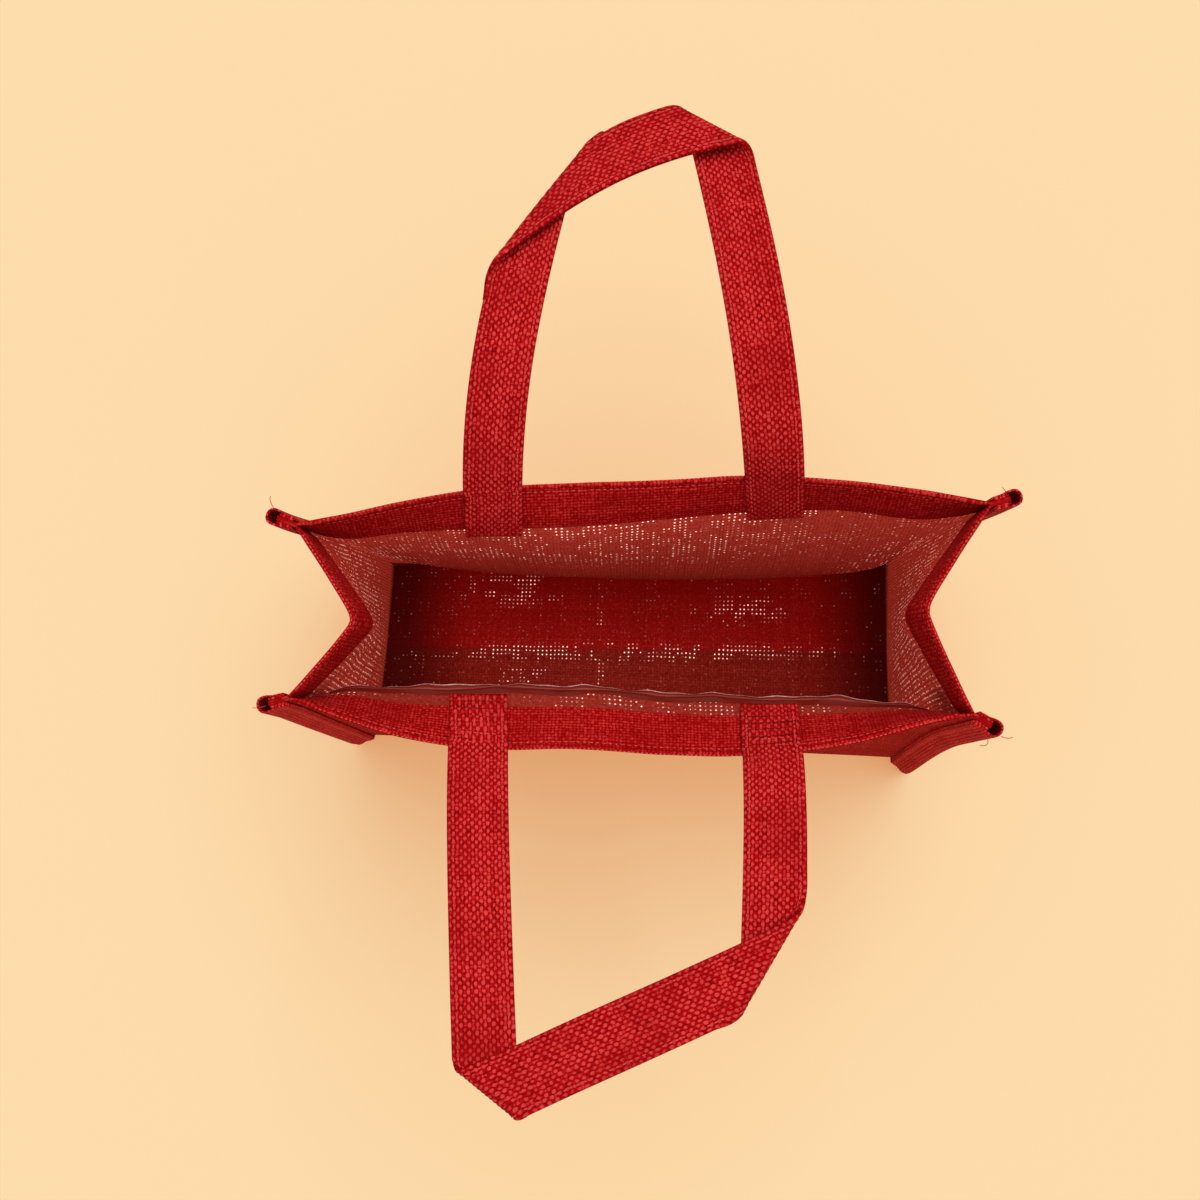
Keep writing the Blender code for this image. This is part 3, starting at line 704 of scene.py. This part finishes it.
# The gussets are the two side panels of the same cloth. Each is pleated inwards down its middle, sewn to
# the body panel along three sides and hemmed at the top.
Apex = namedtuple("Apex", "x y")
APEXES = {"left": Apex(-146.7, -4.5), "right": Apex(146.4, -0.4)}
APEX_ROUND = 0.08
Tuck = namedtuple("Tuck", "height depth")
TUCKS = [Tuck(0, 0), Tuck(BELLY_HEIGHT, 3), Tuck(HEM_LINE, 8), Tuck(HEIGHT, 0)]
GUSSET_RIPPLE_FROM_SEAM = 0.2


def fold_depth(places):
    """How far in a gusset lies, from 0 at its corners, -1 and 1, to 1 at the fold between them."""
    folded = math.hypot(1, APEX_ROUND) - APEX_ROUND
    return 1 - (np.hypot(places, APEX_ROUND) - APEX_ROUND) / folded


def gusset_sheet(side):
    """A gusset with its hem and allowances, stretched between its three seams and its folded rim."""
    edge, out, off = seam(side)
    layer = edge - (CLOTH + GAP) * off
    heights = np.array([*wall_rows(), BEND * 0.7, BEND * 0.4, BEND * 0.15, 0])
    foot = len(heights) - 1
    bottom = layer[foot : len(layer) - foot]
    front, back = layer[: foot + 1], layer[::-1][: foot + 1]
    places = 2 * (bottom[:, 1] - bottom[0, 1]) / (bottom[-1, 1] - bottom[0, 1]) - 1
    finer = np.linspace(-1, 1, 2 * len(places) - 1)
    bottom = read_at(finer, places, bottom)
    out_bottom = unit(read_at(finer, places, out[foot : len(out) - foot]))
    places = finer
    apex, depth = APEXES[side], fold_depth(places)
    corner = np.where(places[:, None] < 0, front[0], back[0])
    rim_x = corner[:, 0] + (apex.x - corner[:, 0]) * depth
    rim_y = apex.y + (corner[:, 1] - apex.y) * abs(places)
    rim = np.stack([rim_x, rim_y, corner[:, 2]], axis=1)
    up_share = heights[:, None, None] / HEIGHT
    over = ((places + 1) / 2)[None, :, None]
    sides = front[:, None] * (1 - over) + back[:, None] * over
    ends = rim[None] * up_share + bottom[None] * (1 - up_share)
    top_corners = front[0] * (1 - over) + back[0] * over
    low_corners = front[-1] * (1 - over) + back[-1] * over
    grid = sides + ends - top_corners * up_share - low_corners * (1 - up_share)
    tuck = smooth(column(TUCKS, "height"), column(TUCKS, "depth"), heights)
    grid[..., 0] -= SIDE_SIGN[side] * tuck[:, None] * depth
    inward = SIDE_SIGN[side] * normals(grid)
    inset = (1 - abs(places)) / GUSSET_RIPPLE_FROM_SEAM
    loose = ease(inset)[None] * ease(heights / RIPPLE_FROM_BASE)[:, None]
    wave = ripple(places[None] * 70 + 300, heights[:, None])
    grid = grid + (RIPPLE * wave * loose)[..., None] * inward
    hem = turned_hem(grid, inward)
    steps = [ALLOWANCE / 2, ALLOWANCE]
    left = [front + step * out[: foot + 1] for step in reversed(steps)]
    right = [back + step * out[::-1][: foot + 1] for step in steps]
    sheet = np.concatenate([np.stack(left, axis=1), grid, np.stack(right, axis=1)], axis=1)
    below = []
    for step in steps:
        row = bottom + step * out_bottom
        before = [front[-1] + step * out[foot]] * 2
        after = [back[-1] + step * out[::-1][foot]] * 2
        below.append(np.concatenate([before, row, after]))
    sheet = np.concatenate([np.array(with_wings(hem, len(steps))), sheet, np.array(below)])
    along = travelled(sheet[:, sheet.shape[1] // 2])
    return sheet, with_allowances(travelled(grid[0])), along


for side in SIDE_SIGN:
    sheet, across, along = gusset_sheet(side)
    gusset = woven_mesh(f"gusset_{side}_cloth", sheet, across, along, inside_out=side == "right")
    give_thickness(gusset, CLOTH, (body_jute, filmed_jute))
    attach(gusset, "root")
    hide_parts(f"gusset_{side}")


# A strip of jute binds the raw edges on each side. Its own edges are turned under, and it is sewn on in
# one length, down the front corner, along the base's side and up the back corner.
# Half the section of the strip: out along the allowance, and off its middle plane. It starts at the
# turned-under edge, folds back near the wall and swells to a loop past the raw edges.
Section = namedtuple("Section", "out off")
BINDING = [
    Section(10.5, 2.15),
    Section(6.5, 1.95),
    Section(3.2, 1.95),
    Section(2.3, 2.35),
    Section(2.7, 2.9),
    Section(5, 3.0),
    Section(8, 3.1),
    Section(11, 3.9),
    Section(13.4, 4.0),
    Section(15.3, 3.3),
    Section(16.3, 1.8),
    Section(16.7, 0),
]
BINDING_CLOTH = 1.0


def binding_sheet(side):
    """The strip round one side's allowances, which is one long loop-edged channel."""
    edge, out, off = seam(side)
    middle = edge - (CLOTH + GAP) / 2 * off
    section = [*BINDING, *(Section(point.out, -point.off) for point in reversed(BINDING[:-1]))]
    sheet = np.stack([middle + point.out * out + point.off * off for point in section], axis=1)
    return sheet, travelled(sheet[len(sheet) // 8]), travelled(sheet[:, sheet.shape[1] // 2])


trim_jute = dyed_jute("Dyed jute strap cloth", "#480002", "#980308", "#b8050c", "#e04440", 0.3)

for side in SIDE_SIGN:
    sheet, across, along = binding_sheet(side)
    binding = woven_mesh(f"binding_{side}_strip", sheet, across, along, inside_out=side == "left")
    give_thickness(binding, BINDING_CLOTH, (trim_jute,))
    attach(binding, "root")
    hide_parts(f"binding_{side}")


# Each handle is a flat band of the same jute, folded in layers so that its long edges are round and
# thick. Its ends are sewn to the inside of a hem, and it folds over itself twice where it was thrown out.
STRAP_WIDTH = 30.5
STRAP_CLOTH = 2.6
STRAP_GAP = 0.25
LEAVE_RUN = 22.0
SETTLE_RUN = 45.0
FOLD_RUN = 55.0
TILT_RUN = 12.0
SHIFT_STEPS = 6
RIB = 0.16

# How steeply each handle rises as it leaves the rim.
Rise = namedtuple("Rise", "along angle")
RISES = {
    "front": [Rise(0, 39), Rise(30, 28), Rise(60, 18), Rise(110, 13), Rise(170, 8), Rise(260, 6)],
    "back": [Rise(0, 46), Rise(20, 36), Rise(45, 19), Rise(80, 4), Rise(120, -5), Rise(260, -12)],
}

# The route of each handle, as it would lie with its rise pressed flat: x along the mouth and out from
# the rim. A turn is a sewn end or the middle of a fold. Round is the fold's radius and flare how much
# wider it gets towards the strap's first left edge, and bow is how far the run after the turn curves to
# its left.
Turn = namedtuple("Turn", "x out round flare bow")
HANDLES = {
    "front": [
        Turn(-84.7, -34, 0, 0, 0),
        Turn(-69, 167, 3, -0.5, 0),
        Turn(58, 109, 4, -0.3, 1),
        Turn(68.4, -34, 0, 0, 0),
    ],
    "back": [
        Turn(-77.3, -32, 0, 0, 4.6),
        Turn(-47.8, 145.5, 2.6, 0.4, 4.5),
        Turn(37.5, 186, 4.5, 0, 3.5),
        Turn(73.5, -32, 0, 0, 0),
    ],
}
Run = namedtuple("Run", "start along heading first last")


def heading_of(degrees):
    return np.array([math.cos(math.radians(degrees)), math.sin(math.radians(degrees))])


def strap_runs(face):
    """The runs of a handle and the slants of its folds. A strap that goes over a fold at a slant moves
    along it as it goes round, so a run starts further along the fold than the last one ended."""
    turns = HANDLES[face]
    crossings = np.array([[turn.x, turn.out] for turn in turns], float)
    shift = np.zeros_like(crossings)
    for _ in range(SHIFT_STEPS):
        runs = []
        for index, turn in enumerate(turns[:-1]):
            start = crossings[index] + shift[index]
            way = crossings[index + 1] - shift[index + 1] - start
            heading = math.degrees(math.atan2(way[1], way[0]))
            curl = math.degrees(turn.bow * math.pi / math.hypot(*way))
            runs.append(Run(start, way, heading, heading + curl, heading - curl))
        slants = [180]
        for index in (1, 2):
            slants.append((runs[index - 1].last + runs[index].first) / 2 + 180 * index)
            turned = math.radians(runs[index - 1].last - slants[index])
            slide = math.pi * turns[index].round / 2 * math.cos(turned) / abs(math.sin(turned))
            shift[index] = slide * heading_of(slants[index])
        slants.append(360)
    return runs, slants


def strap_route(face, spread):
    """Rows of points across a handle at places from 1 to -1, pressed flat: x, out from the rim, how far
    it is lifted, and how far along the strap it is. Rows are half a yarn's spacing apart."""
    turns = HANDLES[face]
    runs, slants = strap_runs(face)
    inside = (runs[0].start + runs[-1].start + runs[-1].along) / 2
    squares = [180, runs[1].heading + 270, 360]
    rows = []
    level = np.zeros_like(spread)
    gone = 0
    for index, (run, turn, after) in enumerate(zip(runs, turns, turns[1:])):
        length = math.hypot(*run.along)
        side = np.array([-run.along[1], run.along[0]]) / length
        steps = round(2 * length / PITCH)
        for step in range(steps + 1):
            part = step / steps
            turned_in = 1 - ease(part * length / FOLD_RUN)
            turned_out = 1 - ease((1 - part) * length / FOLD_RUN)
            across = squares[index] + (slants[index] - squares[index]) * turned_in
            across += (slants[index + 1] - squares[index]) * turned_out
            bend = run.first * (1 - part) + run.last * part
            lean = math.radians(across - bend)
            half = STRAP_WIDTH / 2 / abs(math.sin(lean))
            centre = run.start + run.along * part + side * turn.bow * math.sin(math.pi * part)
            flat = centre + half * spread[:, None] * heading_of(across)
            top = 2 * after.round if index == 1 else 0
            lift = level + (top - level) * ease(part * (1.2 if index == 2 else 1))
            place = gone + length * part + half * spread * math.cos(lean)
            rows.append(np.column_stack([flat, lift, place]))
        gone += length
        if not after.round:
            break
        line = heading_of(slants[index + 1])
        outward = np.array([-line[1], line[0]])
        if outward @ (run.start + run.along - inside) < 0:
            outward = -outward
        slide = runs[index + 1].start - run.start - run.along
        radius = after.round * (1 + after.flare * spread)
        start = rows[-1]
        down = -1 if index else 1
        wrap = math.hypot(math.pi * after.round, math.hypot(*slide))
        for turned in np.linspace(0, math.pi, round(2 * wrap / PITCH) + 1)[1:]:
            flat = start[:, :2] + (radius * math.sin(turned))[:, None] * outward
            flat = flat + slide * turned / math.pi
            lift = start[:, 2] + down * radius * (1 - math.cos(turned))
            rows.append(np.column_stack([flat, lift, start[:, 3] + wrap * turned / math.pi]))
        level = rows[-1][:, 2]
        gone += wrap
        del rows[-1]
    return np.array(rows)


def strap_lift(face, route):
    """Lay a pressed-flat handle on the hem's inner face and then along its own rise."""
    x, out, lift = route[..., 0], route[..., 1], route[..., 2]
    sign = FACE_SIGN[face]
    stand = 0.5 * CLOTH + HEM_LAYER[0].inside + STRAP_GAP + STRAP_CLOTH / 2
    reach = 0.5

    def seated(place, height):
        here = wall(face, place, height)
        along = wall(face, place + reach, height) - wall(face, place - reach, height)
        rise = here - wall(face, place, height - reach)
        facing = unit(np.cross(along, rise) * sign)
        return here, facing, np.degrees(np.arctan2(rise[..., 2], sign * rise[..., 1]))

    on_wall, facing, _ = seated(x, HEIGHT + np.minimum(out, 0))
    at_rim, rim_facing, wall_angle = seated(x, np.full_like(x, HEIGHT))
    table = RISES[face]
    steps = np.linspace(0, 1, CURVE_STEPS + 1)
    travel = np.maximum(out, 0)[..., None] * steps
    angle = smooth(column(table, "along"), column(table, "angle"), travel)
    angle = np.radians(angle + (wall_angle[..., None] - table[0].angle) * np.exp(-travel / LEAVE_RUN))
    width = np.diff(travel, axis=-1)
    between = (angle[..., 1:] + angle[..., :-1]) / 2
    away = (np.cos(between) * width).sum(axis=-1)
    climb = (np.sin(between) * width).sum(axis=-1)
    start = at_rim + stand * rim_facing
    mean = start.reshape(-1, 3).mean(axis=0)
    settle = np.exp(-np.maximum(out, 0) / SETTLE_RUN)[..., None]
    leave = mean + (start - mean) * settle
    leave[..., 0] = x
    free = leave + np.stack([np.zeros_like(away), sign * away, climb], axis=-1)
    tip = angle[..., -1]
    top = np.stack([np.zeros_like(tip), -sign * np.sin(tip), np.cos(tip)], axis=-1)
    blend = ease(np.maximum(out, 0) / TILT_RUN)[..., None]
    top = unit(rim_facing * (1 - blend) + top * blend)
    seat = on_wall + (stand + lift[..., None]) * facing
    return np.where((out <= 0)[..., None], seat, free + lift[..., None] * top)


# The strap's section, from its middle out to one edge: place across and half its thickness there. The
# edge is a folded bead, a little thicker than the middle.
Band = namedtuple("Band", "across half")
EDGE_BEAD = 1.5
BEAD_SWELL = 0.25
YARNS_ACROSS = 16


def strap_section():
    """Places round the strap's section: across it from 1 to -1 and off its middle layer."""
    reach = STRAP_WIDTH / 2
    flat = reach - EDGE_BEAD
    face_columns = np.linspace(flat, -flat, 2 * YARNS_ACROSS - 3)
    ribs = RIB * np.cos(np.arange(len(face_columns)) * math.pi)
    bulge = BEAD_SWELL * np.exp(-((abs(face_columns) - flat) / EDGE_BEAD) ** 2)
    top = [Band(place, half) for place, half in zip(face_columns, STRAP_CLOTH / 2 + ribs + bulge)]
    turn = np.linspace(0, math.pi, 7)[1:-1]
    bead = STRAP_CLOTH / 2 + BEAD_SWELL
    right_edge = [Band(-flat - EDGE_BEAD * math.sin(angle), bead * math.cos(angle)) for angle in turn]
    low = [Band(band.across, -band.half) for band in reversed(top)]
    left_edge = [Band(flat + EDGE_BEAD * math.sin(angle), -bead * math.cos(angle)) for angle in turn]
    section = [*top, *right_edge, *low, *left_edge, top[0]]
    return np.array([band.across / reach for band in section]), np.array([band.half for band in section])


def strap_points(face, spread, off):
    """Points of a strap at places across it and off its middle layer, and its flat places along."""
    finer = np.linspace(1, -1, 33)
    route = strap_route(face, finer)
    layer = strap_lift(face, route)
    facing = unit(np.cross(np.gradient(layer, axis=0), np.gradient(layer, axis=1)))

    def across(grid):
        return np.stack([read_at(spread, finer[::-1], row[::-1]) for row in grid])

    along = across(route[..., 3:])[..., 0]
    centre = along.mean(axis=1, keepdims=True)
    from_end = np.minimum(centre - centre.min(), centre.max() - centre)
    closing = np.sqrt(np.clip(1 - (1 - np.clip(from_end / EDGE_BEAD, 0, 1)) ** 2, 0, 1))
    return across(layer) + (off * closing)[..., None] * unit(across(facing)), along


for face in FACE_SIGN:
    spread, off = strap_section()
    points, along = strap_points(face, spread, off)
    across = np.broadcast_to(spread * STRAP_WIDTH / 2 + STRAP_WIDTH, along.shape)
    handle = woven_mesh(f"handle_{face}_strap", points, across, along + STRAP_WIDTH)
    handle.data.materials.append(trim_jute)
    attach(handle, "root")
    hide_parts(f"handle_{face}")


# The seams are sewn with a thick thread of the same red: along each hem below the rim, along both edges
# of each strap and across its sewn ends, and along the strips that bind the corners.
STITCH = 3.3
STITCH_SHARE = 0.75
THREAD = 0.8
RIM_YARN = 2.3
STRAP_SEAM_INSET = 3.0
ACROSS_END = 6.5
END_STITCHES = 12
BARE_ROWS = 8
BARE_COLUMNS = 5
BINDING_SEAM = BINDING.index(Section(5, 3.0))

thread, tree, shader = new_material("Dyed sewing thread", {"Roughness": 0.7, "Specular IOR Level": 0.15})
strands = add(tree, "TexNoise", {"Vector": add(tree, "TexCoord", out=3), "Scale": 2600, "Detail": 1})
thread_colour = add(tree, "ValToRGB", strands, stops=((0.35, "#c81c1c"), (0.65, "#f0605a")))
tree.links.new(thread_colour, shader.inputs["Base Color"])

one_stitch = bmesh.new()
bmesh.ops.create_icosphere(one_stitch, subdivisions=1, radius=0.5)
ball = np.array([corner.co for corner in one_stitch.verts])
ball_faces = np.array([[corner.index for corner in face.verts] for face in one_stitch.faces])
one_stitch.free()


def stitch_row(points, facing, pitch=STITCH):
    """The corners of a row of short stitches along points of a surface, each lying on its facing side."""
    gone = travelled(points)
    middles = np.arange(pitch, gone[-1] - pitch / 2, pitch)
    length = STITCH_SHARE * pitch
    starts, centres, ends = (read_at(middles + part * length, gone, points) for part in (-0.5, 0, 0.5))
    along = unit(ends - starts)
    side = unit(np.cross(read_at(middles, gone, facing), along))
    axes = np.stack([along * length, side * THREAD, np.cross(along, side) * THREAD], axis=1)
    return centres[:, None] + ball @ axes


def sewn_piece(name, rows):
    """Make the rows of stitches of a seam one piece."""
    stitches = np.concatenate(rows)
    faces = ball_faces + len(ball) * np.arange(len(stitches))[:, None, None]
    mesh = bpy.data.meshes.new(name)
    mesh.from_pydata((stitches.reshape(-1, 3) * MM).tolist(), [], faces.reshape(-1, 3).tolist())
    mesh.shade_smooth()
    mesh.materials.append(thread)
    piece = placed(name, mesh)
    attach(piece, "root")


def on_jute(sheet, sign, thickness, row):
    """A row of points on the jute side of a sheet, and the way out of it there."""
    facing = (sign * normals(sheet))[row][BARE_COLUMNS:-BARE_COLUMNS]
    return sheet[row][BARE_COLUMNS:-BARE_COLUMNS] + facing * thickness / 2, facing


# The hem's stitches lie 4 mm below the rim inside and 5.4 mm below it outside, where the cloth has come
# over the rim.
flap_row = len(HEM_ROWS) - 1 - HEM_ROWS.index(4)
wall_row = len(HEM_ROWS) + TURN_ROWS + HEM_ROWS.index(5.4)
rim_row = len(HEM_ROWS) + TURN_ROWS // 2
sheet = panel_sheet()[0]
hem_rows = (flap_row, wall_row, -1 - wall_row, -1 - flap_row)
seams = [stitch_row(*on_jute(sheet, -1, CLOTH, row)) for row in hem_rows]
seams += [stitch_row(*on_jute(sheet, -1, CLOTH, row), RIM_YARN) for row in (rim_row, -1 - rim_row)]
for side, sign in SIDE_SIGN.items():
    sheet = gusset_sheet(side)[0]
    seams += [stitch_row(*on_jute(sheet, -sign, CLOTH, row)) for row in (flap_row, wall_row)]
    seams.append(stitch_row(*on_jute(sheet, -sign, CLOTH, rim_row), RIM_YARN))
sewn_piece("hem_stitches", seams)

seams = []
surface = STRAP_CLOTH / 2 + RIB / 2
inset = 1 - 2 * STRAP_SEAM_INSET / STRAP_WIDTH
width = np.linspace(inset, -inset, END_STITCHES)
spread = np.array([*width, inset, -inset])
off = np.array([surface] * END_STITCHES + [-surface] * 2)
for face in FACE_SIGN:
    points = strap_points(face, np.tile(spread, 2), np.concatenate([0 * off, off]))[0]
    layer, top = np.split(points, 2, axis=1)
    facing = unit(top - layer)
    out = abs(strap_route(face, width)[..., 1].mean(axis=1) + ACROSS_END)
    half = len(out) // 2
    for row in (out[:half].argmin(), half + out[half:].argmin()):
        seams.append(stitch_row(top[row, :END_STITCHES], facing[row, :END_STITCHES]))
    edges = slice(BARE_ROWS, -BARE_ROWS)
    for place in (0, *range(END_STITCHES - 1, len(spread))):
        seams.append(stitch_row(top[edges, place], facing[edges, place]))
sewn_piece("strap_stitches", seams)

seams = []
for side, sign in SIDE_SIGN.items():
    sheet = binding_sheet(side)[0].swapaxes(0, 1)
    for row in (BINDING_SEAM, -1 - BINDING_SEAM):
        seams.append(stitch_row(*on_jute(sheet, sign, BINDING_CLOTH, row)))
sewn_piece("binding_stitches", seams)


# Below the front hem the film has come away from the cloth along the crease and stands up in a thin,
# wavy pleat, which is bent back on itself in places. Its colours are painted light and shade: a white
# highlight along its crest, a fainter one along its second crest, and darker shade between and above.
Hump = namedtuple("Hump", "x reach high")
HUMPS = [
    Hump(-110, 13, 2.0),
    Hump(-72, 10, 0.6),
    Hump(-30, 16, 0.7),
    Hump(40, 12, 0.5),
    Hump(102, 16, 1.6),
]
PLEAT_FROM = -164.0
PLEAT_TO = 153.0
PLEAT_STEP = 1.5
PLEAT_END_RUN = 12
FILM = 0.15
FILM_CLEAR = 0.02
Fold = namedtuple("Fold", "height off low_wave high_wave")
PLEAT_FOLDS = [
    Fold(-6, 0.02, 0, 0),
    Fold(-3, 0.1, 0, 0),
    Fold(-0.9, 0.5, 0.6, 0),
    Fold(-0.4, 0.9, 1, 0),
    Fold(0.1, 0.5, 0.7, 0),
    Fold(1.4, 0.15, 0, 0.2),
    Fold(2.2, 0.3, 0, 0.8),
    Fold(2.6, 0.5, 0, 1),
    Fold(3, 0.3, 0, 0.6),
    Fold(5, 0.02, 0, 0),
]

# Colours across the pleat from its foot: a painted white highlight on the crest, a fainter painted
# highlight on the second crest, and painted shade between and above them.
PLEAT_COLOURS = (
    (0.36, "#80241a"),
    (0.42, "#b05848"),
    (0.45, "#ffe4d8"),
    (0.50, "#80241a"),
    (0.60, "#70180e"),
    (0.66, "#a04c3e"),
    (0.70, "#70180e"),
)

pleat_film, tree, shader = new_material("Creased clear film", {"Roughness": 0.6, "Specular IOR Level": 0.1})
flat = add(tree, "UVMap", uv_map="cloth")
uneven = add(tree, "TexNoise", {"Vector": flat, "Scale": 240, "Detail": 2})
# Noise makes the painted highlight and shade lines waver across the pleat.
across_pleat = add(tree, "Math MULTIPLY_ADD", uneven, 0.8 * MM, add(tree, "SeparateXYZ", flat, out=1))
part = add(tree, "MapRange", across_pleat, 0, 14 * MM, 0, 1)
tree.links.new(add(tree, "ValToRGB", part, stops=PLEAT_COLOURS), shader.inputs["Base Color"])

x = np.arange(PLEAT_FROM, PLEAT_TO, PLEAT_STEP)
humps = sum(hump.high * np.exp(-(((x - hump.x) / hump.reach) ** 2)) for hump in HUMPS)
ends = ease(np.minimum(x - PLEAT_FROM, PLEAT_TO - x) / PLEAT_END_RUN)
low_wave = ends * (0.45 * np.sin(x / 5.3) + 0.3 * np.sin(x / 2.7) + humps)
high_wave = ends * (0.5 * np.sin(x / 6.1 + 2.4) + 0.3 * np.sin(x / 3.1 + 1) + humps / 2)
heights = CREASE_HEIGHT + 0.6 * np.sin(x / 9)
sheet = np.array([wall("front", x, heights + fold.height) for fold in PLEAT_FOLDS])
inward = unit(np.cross(np.gradient(sheet, axis=0), np.gradient(sheet, axis=1)))
inward *= np.sign(inward[..., 1:2])
for row, fold in enumerate(PLEAT_FOLDS):
    off = fold.off * (0.4 + 0.6 * ends) + fold.low_wave * low_wave + fold.high_wave * high_wave
    sheet[row] += inward[row] * (CLOTH / 2 + FILM + np.maximum(off, FILM_CLEAR))[:, None]
lengths = travelled(sheet[0])
widths = travelled(sheet[:, len(x) // 3])
film_pleat = woven_mesh("film_pleat", sheet, lengths, widths)
give_thickness(film_pleat, FILM, (pleat_film,))
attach(film_pleat, "root")


# Short ends of thread and yarn stick out where the seams end at the corners of the rim.
ENDS = [
    [(186, 63, 297), (187.5, 60.5, 299), (187, 58, 301), (185, 56.5, 300)],
    [(174, -63, 298), (175.5, -66, 299), (173, -68.5, 300), (171, -68, 298)],
    [(181, -63.5, 300), (184, -65, 302), (186.5, -64, 301)],
    [(-190, -48, 299), (-193, -49.5, 302), (-196, -49, 302)],
    [(-188, 54, 300), (-190, 57, 302), (-189, 59.5, 303)],
]
ends = bpy.data.curves.new("loose_ends", "CURVE")
ends.dimensions = "3D"
ends.bevel_depth = 0.2 * MM
ends.bevel_resolution = 1
ends.use_fill_caps = True
for points in ENDS:
    spline = ends.splines.new("NURBS")
    spline.points.add(len(points) - 1)
    for knot, point in zip(spline.points, points):
        knot.co = (*(value * MM for value in point), 1)
    spline.use_endpoint_u = True
    spline.order_u = 3
drawn = placed("loose_ends", ends)
as_mesh = bpy.data.meshes.new_from_object(drawn.evaluated_get(bpy.context.evaluated_depsgraph_get()))
bpy.data.objects.remove(drawn)
as_mesh.materials.append(thread)
loose_ends = placed("loose_ends", as_mesh)
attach(loose_ends, "root")


# The floor is a plain pale sheet, and the light is soft and comes from behind the bag and above it.
FLOOR_SIDE = 6000
floor_shape = bmesh.new()
bmesh.ops.create_grid(floor_shape, x_segments=1, y_segments=1, size=FLOOR_SIDE * MM / 2)
floor_mesh = bpy.data.meshes.new("floor")
floor_shape.to_mesh(floor_mesh)
floor_shape.free()
matt = {"Base Color": (0.38, 0.48, 0.34, 1), "Roughness": 0.95, "Specular IOR Level": 0}
glow = {"Emission Color": (0.59, 0.22, 0.06, 1), "Emission Strength": 1}
floor_mesh.materials.append(new_material("Matt paper over a light table", matt | glow)[0])
floor = placed("floor", floor_mesh)

SUN_FROM = (0.13, 0.25, 1)
SUN_SPREAD = 45
SUN_POWER = 1.95
sun_data = bpy.data.lights.new("Overhead soft light", "SUN")
sun_data.energy = SUN_POWER
sun_data.angle = math.radians(SUN_SPREAD)
sun = placed("Overhead soft light", sun_data)
sun.rotation_euler = Vector(SUN_FROM).to_track_quat("Z", "Y").to_euler()
world = bpy.data.worlds.new("Studio")
world.use_nodes = True
background = world.node_tree.nodes["Background"]
background.inputs["Color"].default_value = (1, 0.99, 0.975, 1)
background.inputs["Strength"].default_value = 0.46
bpy.context.scene.world = world
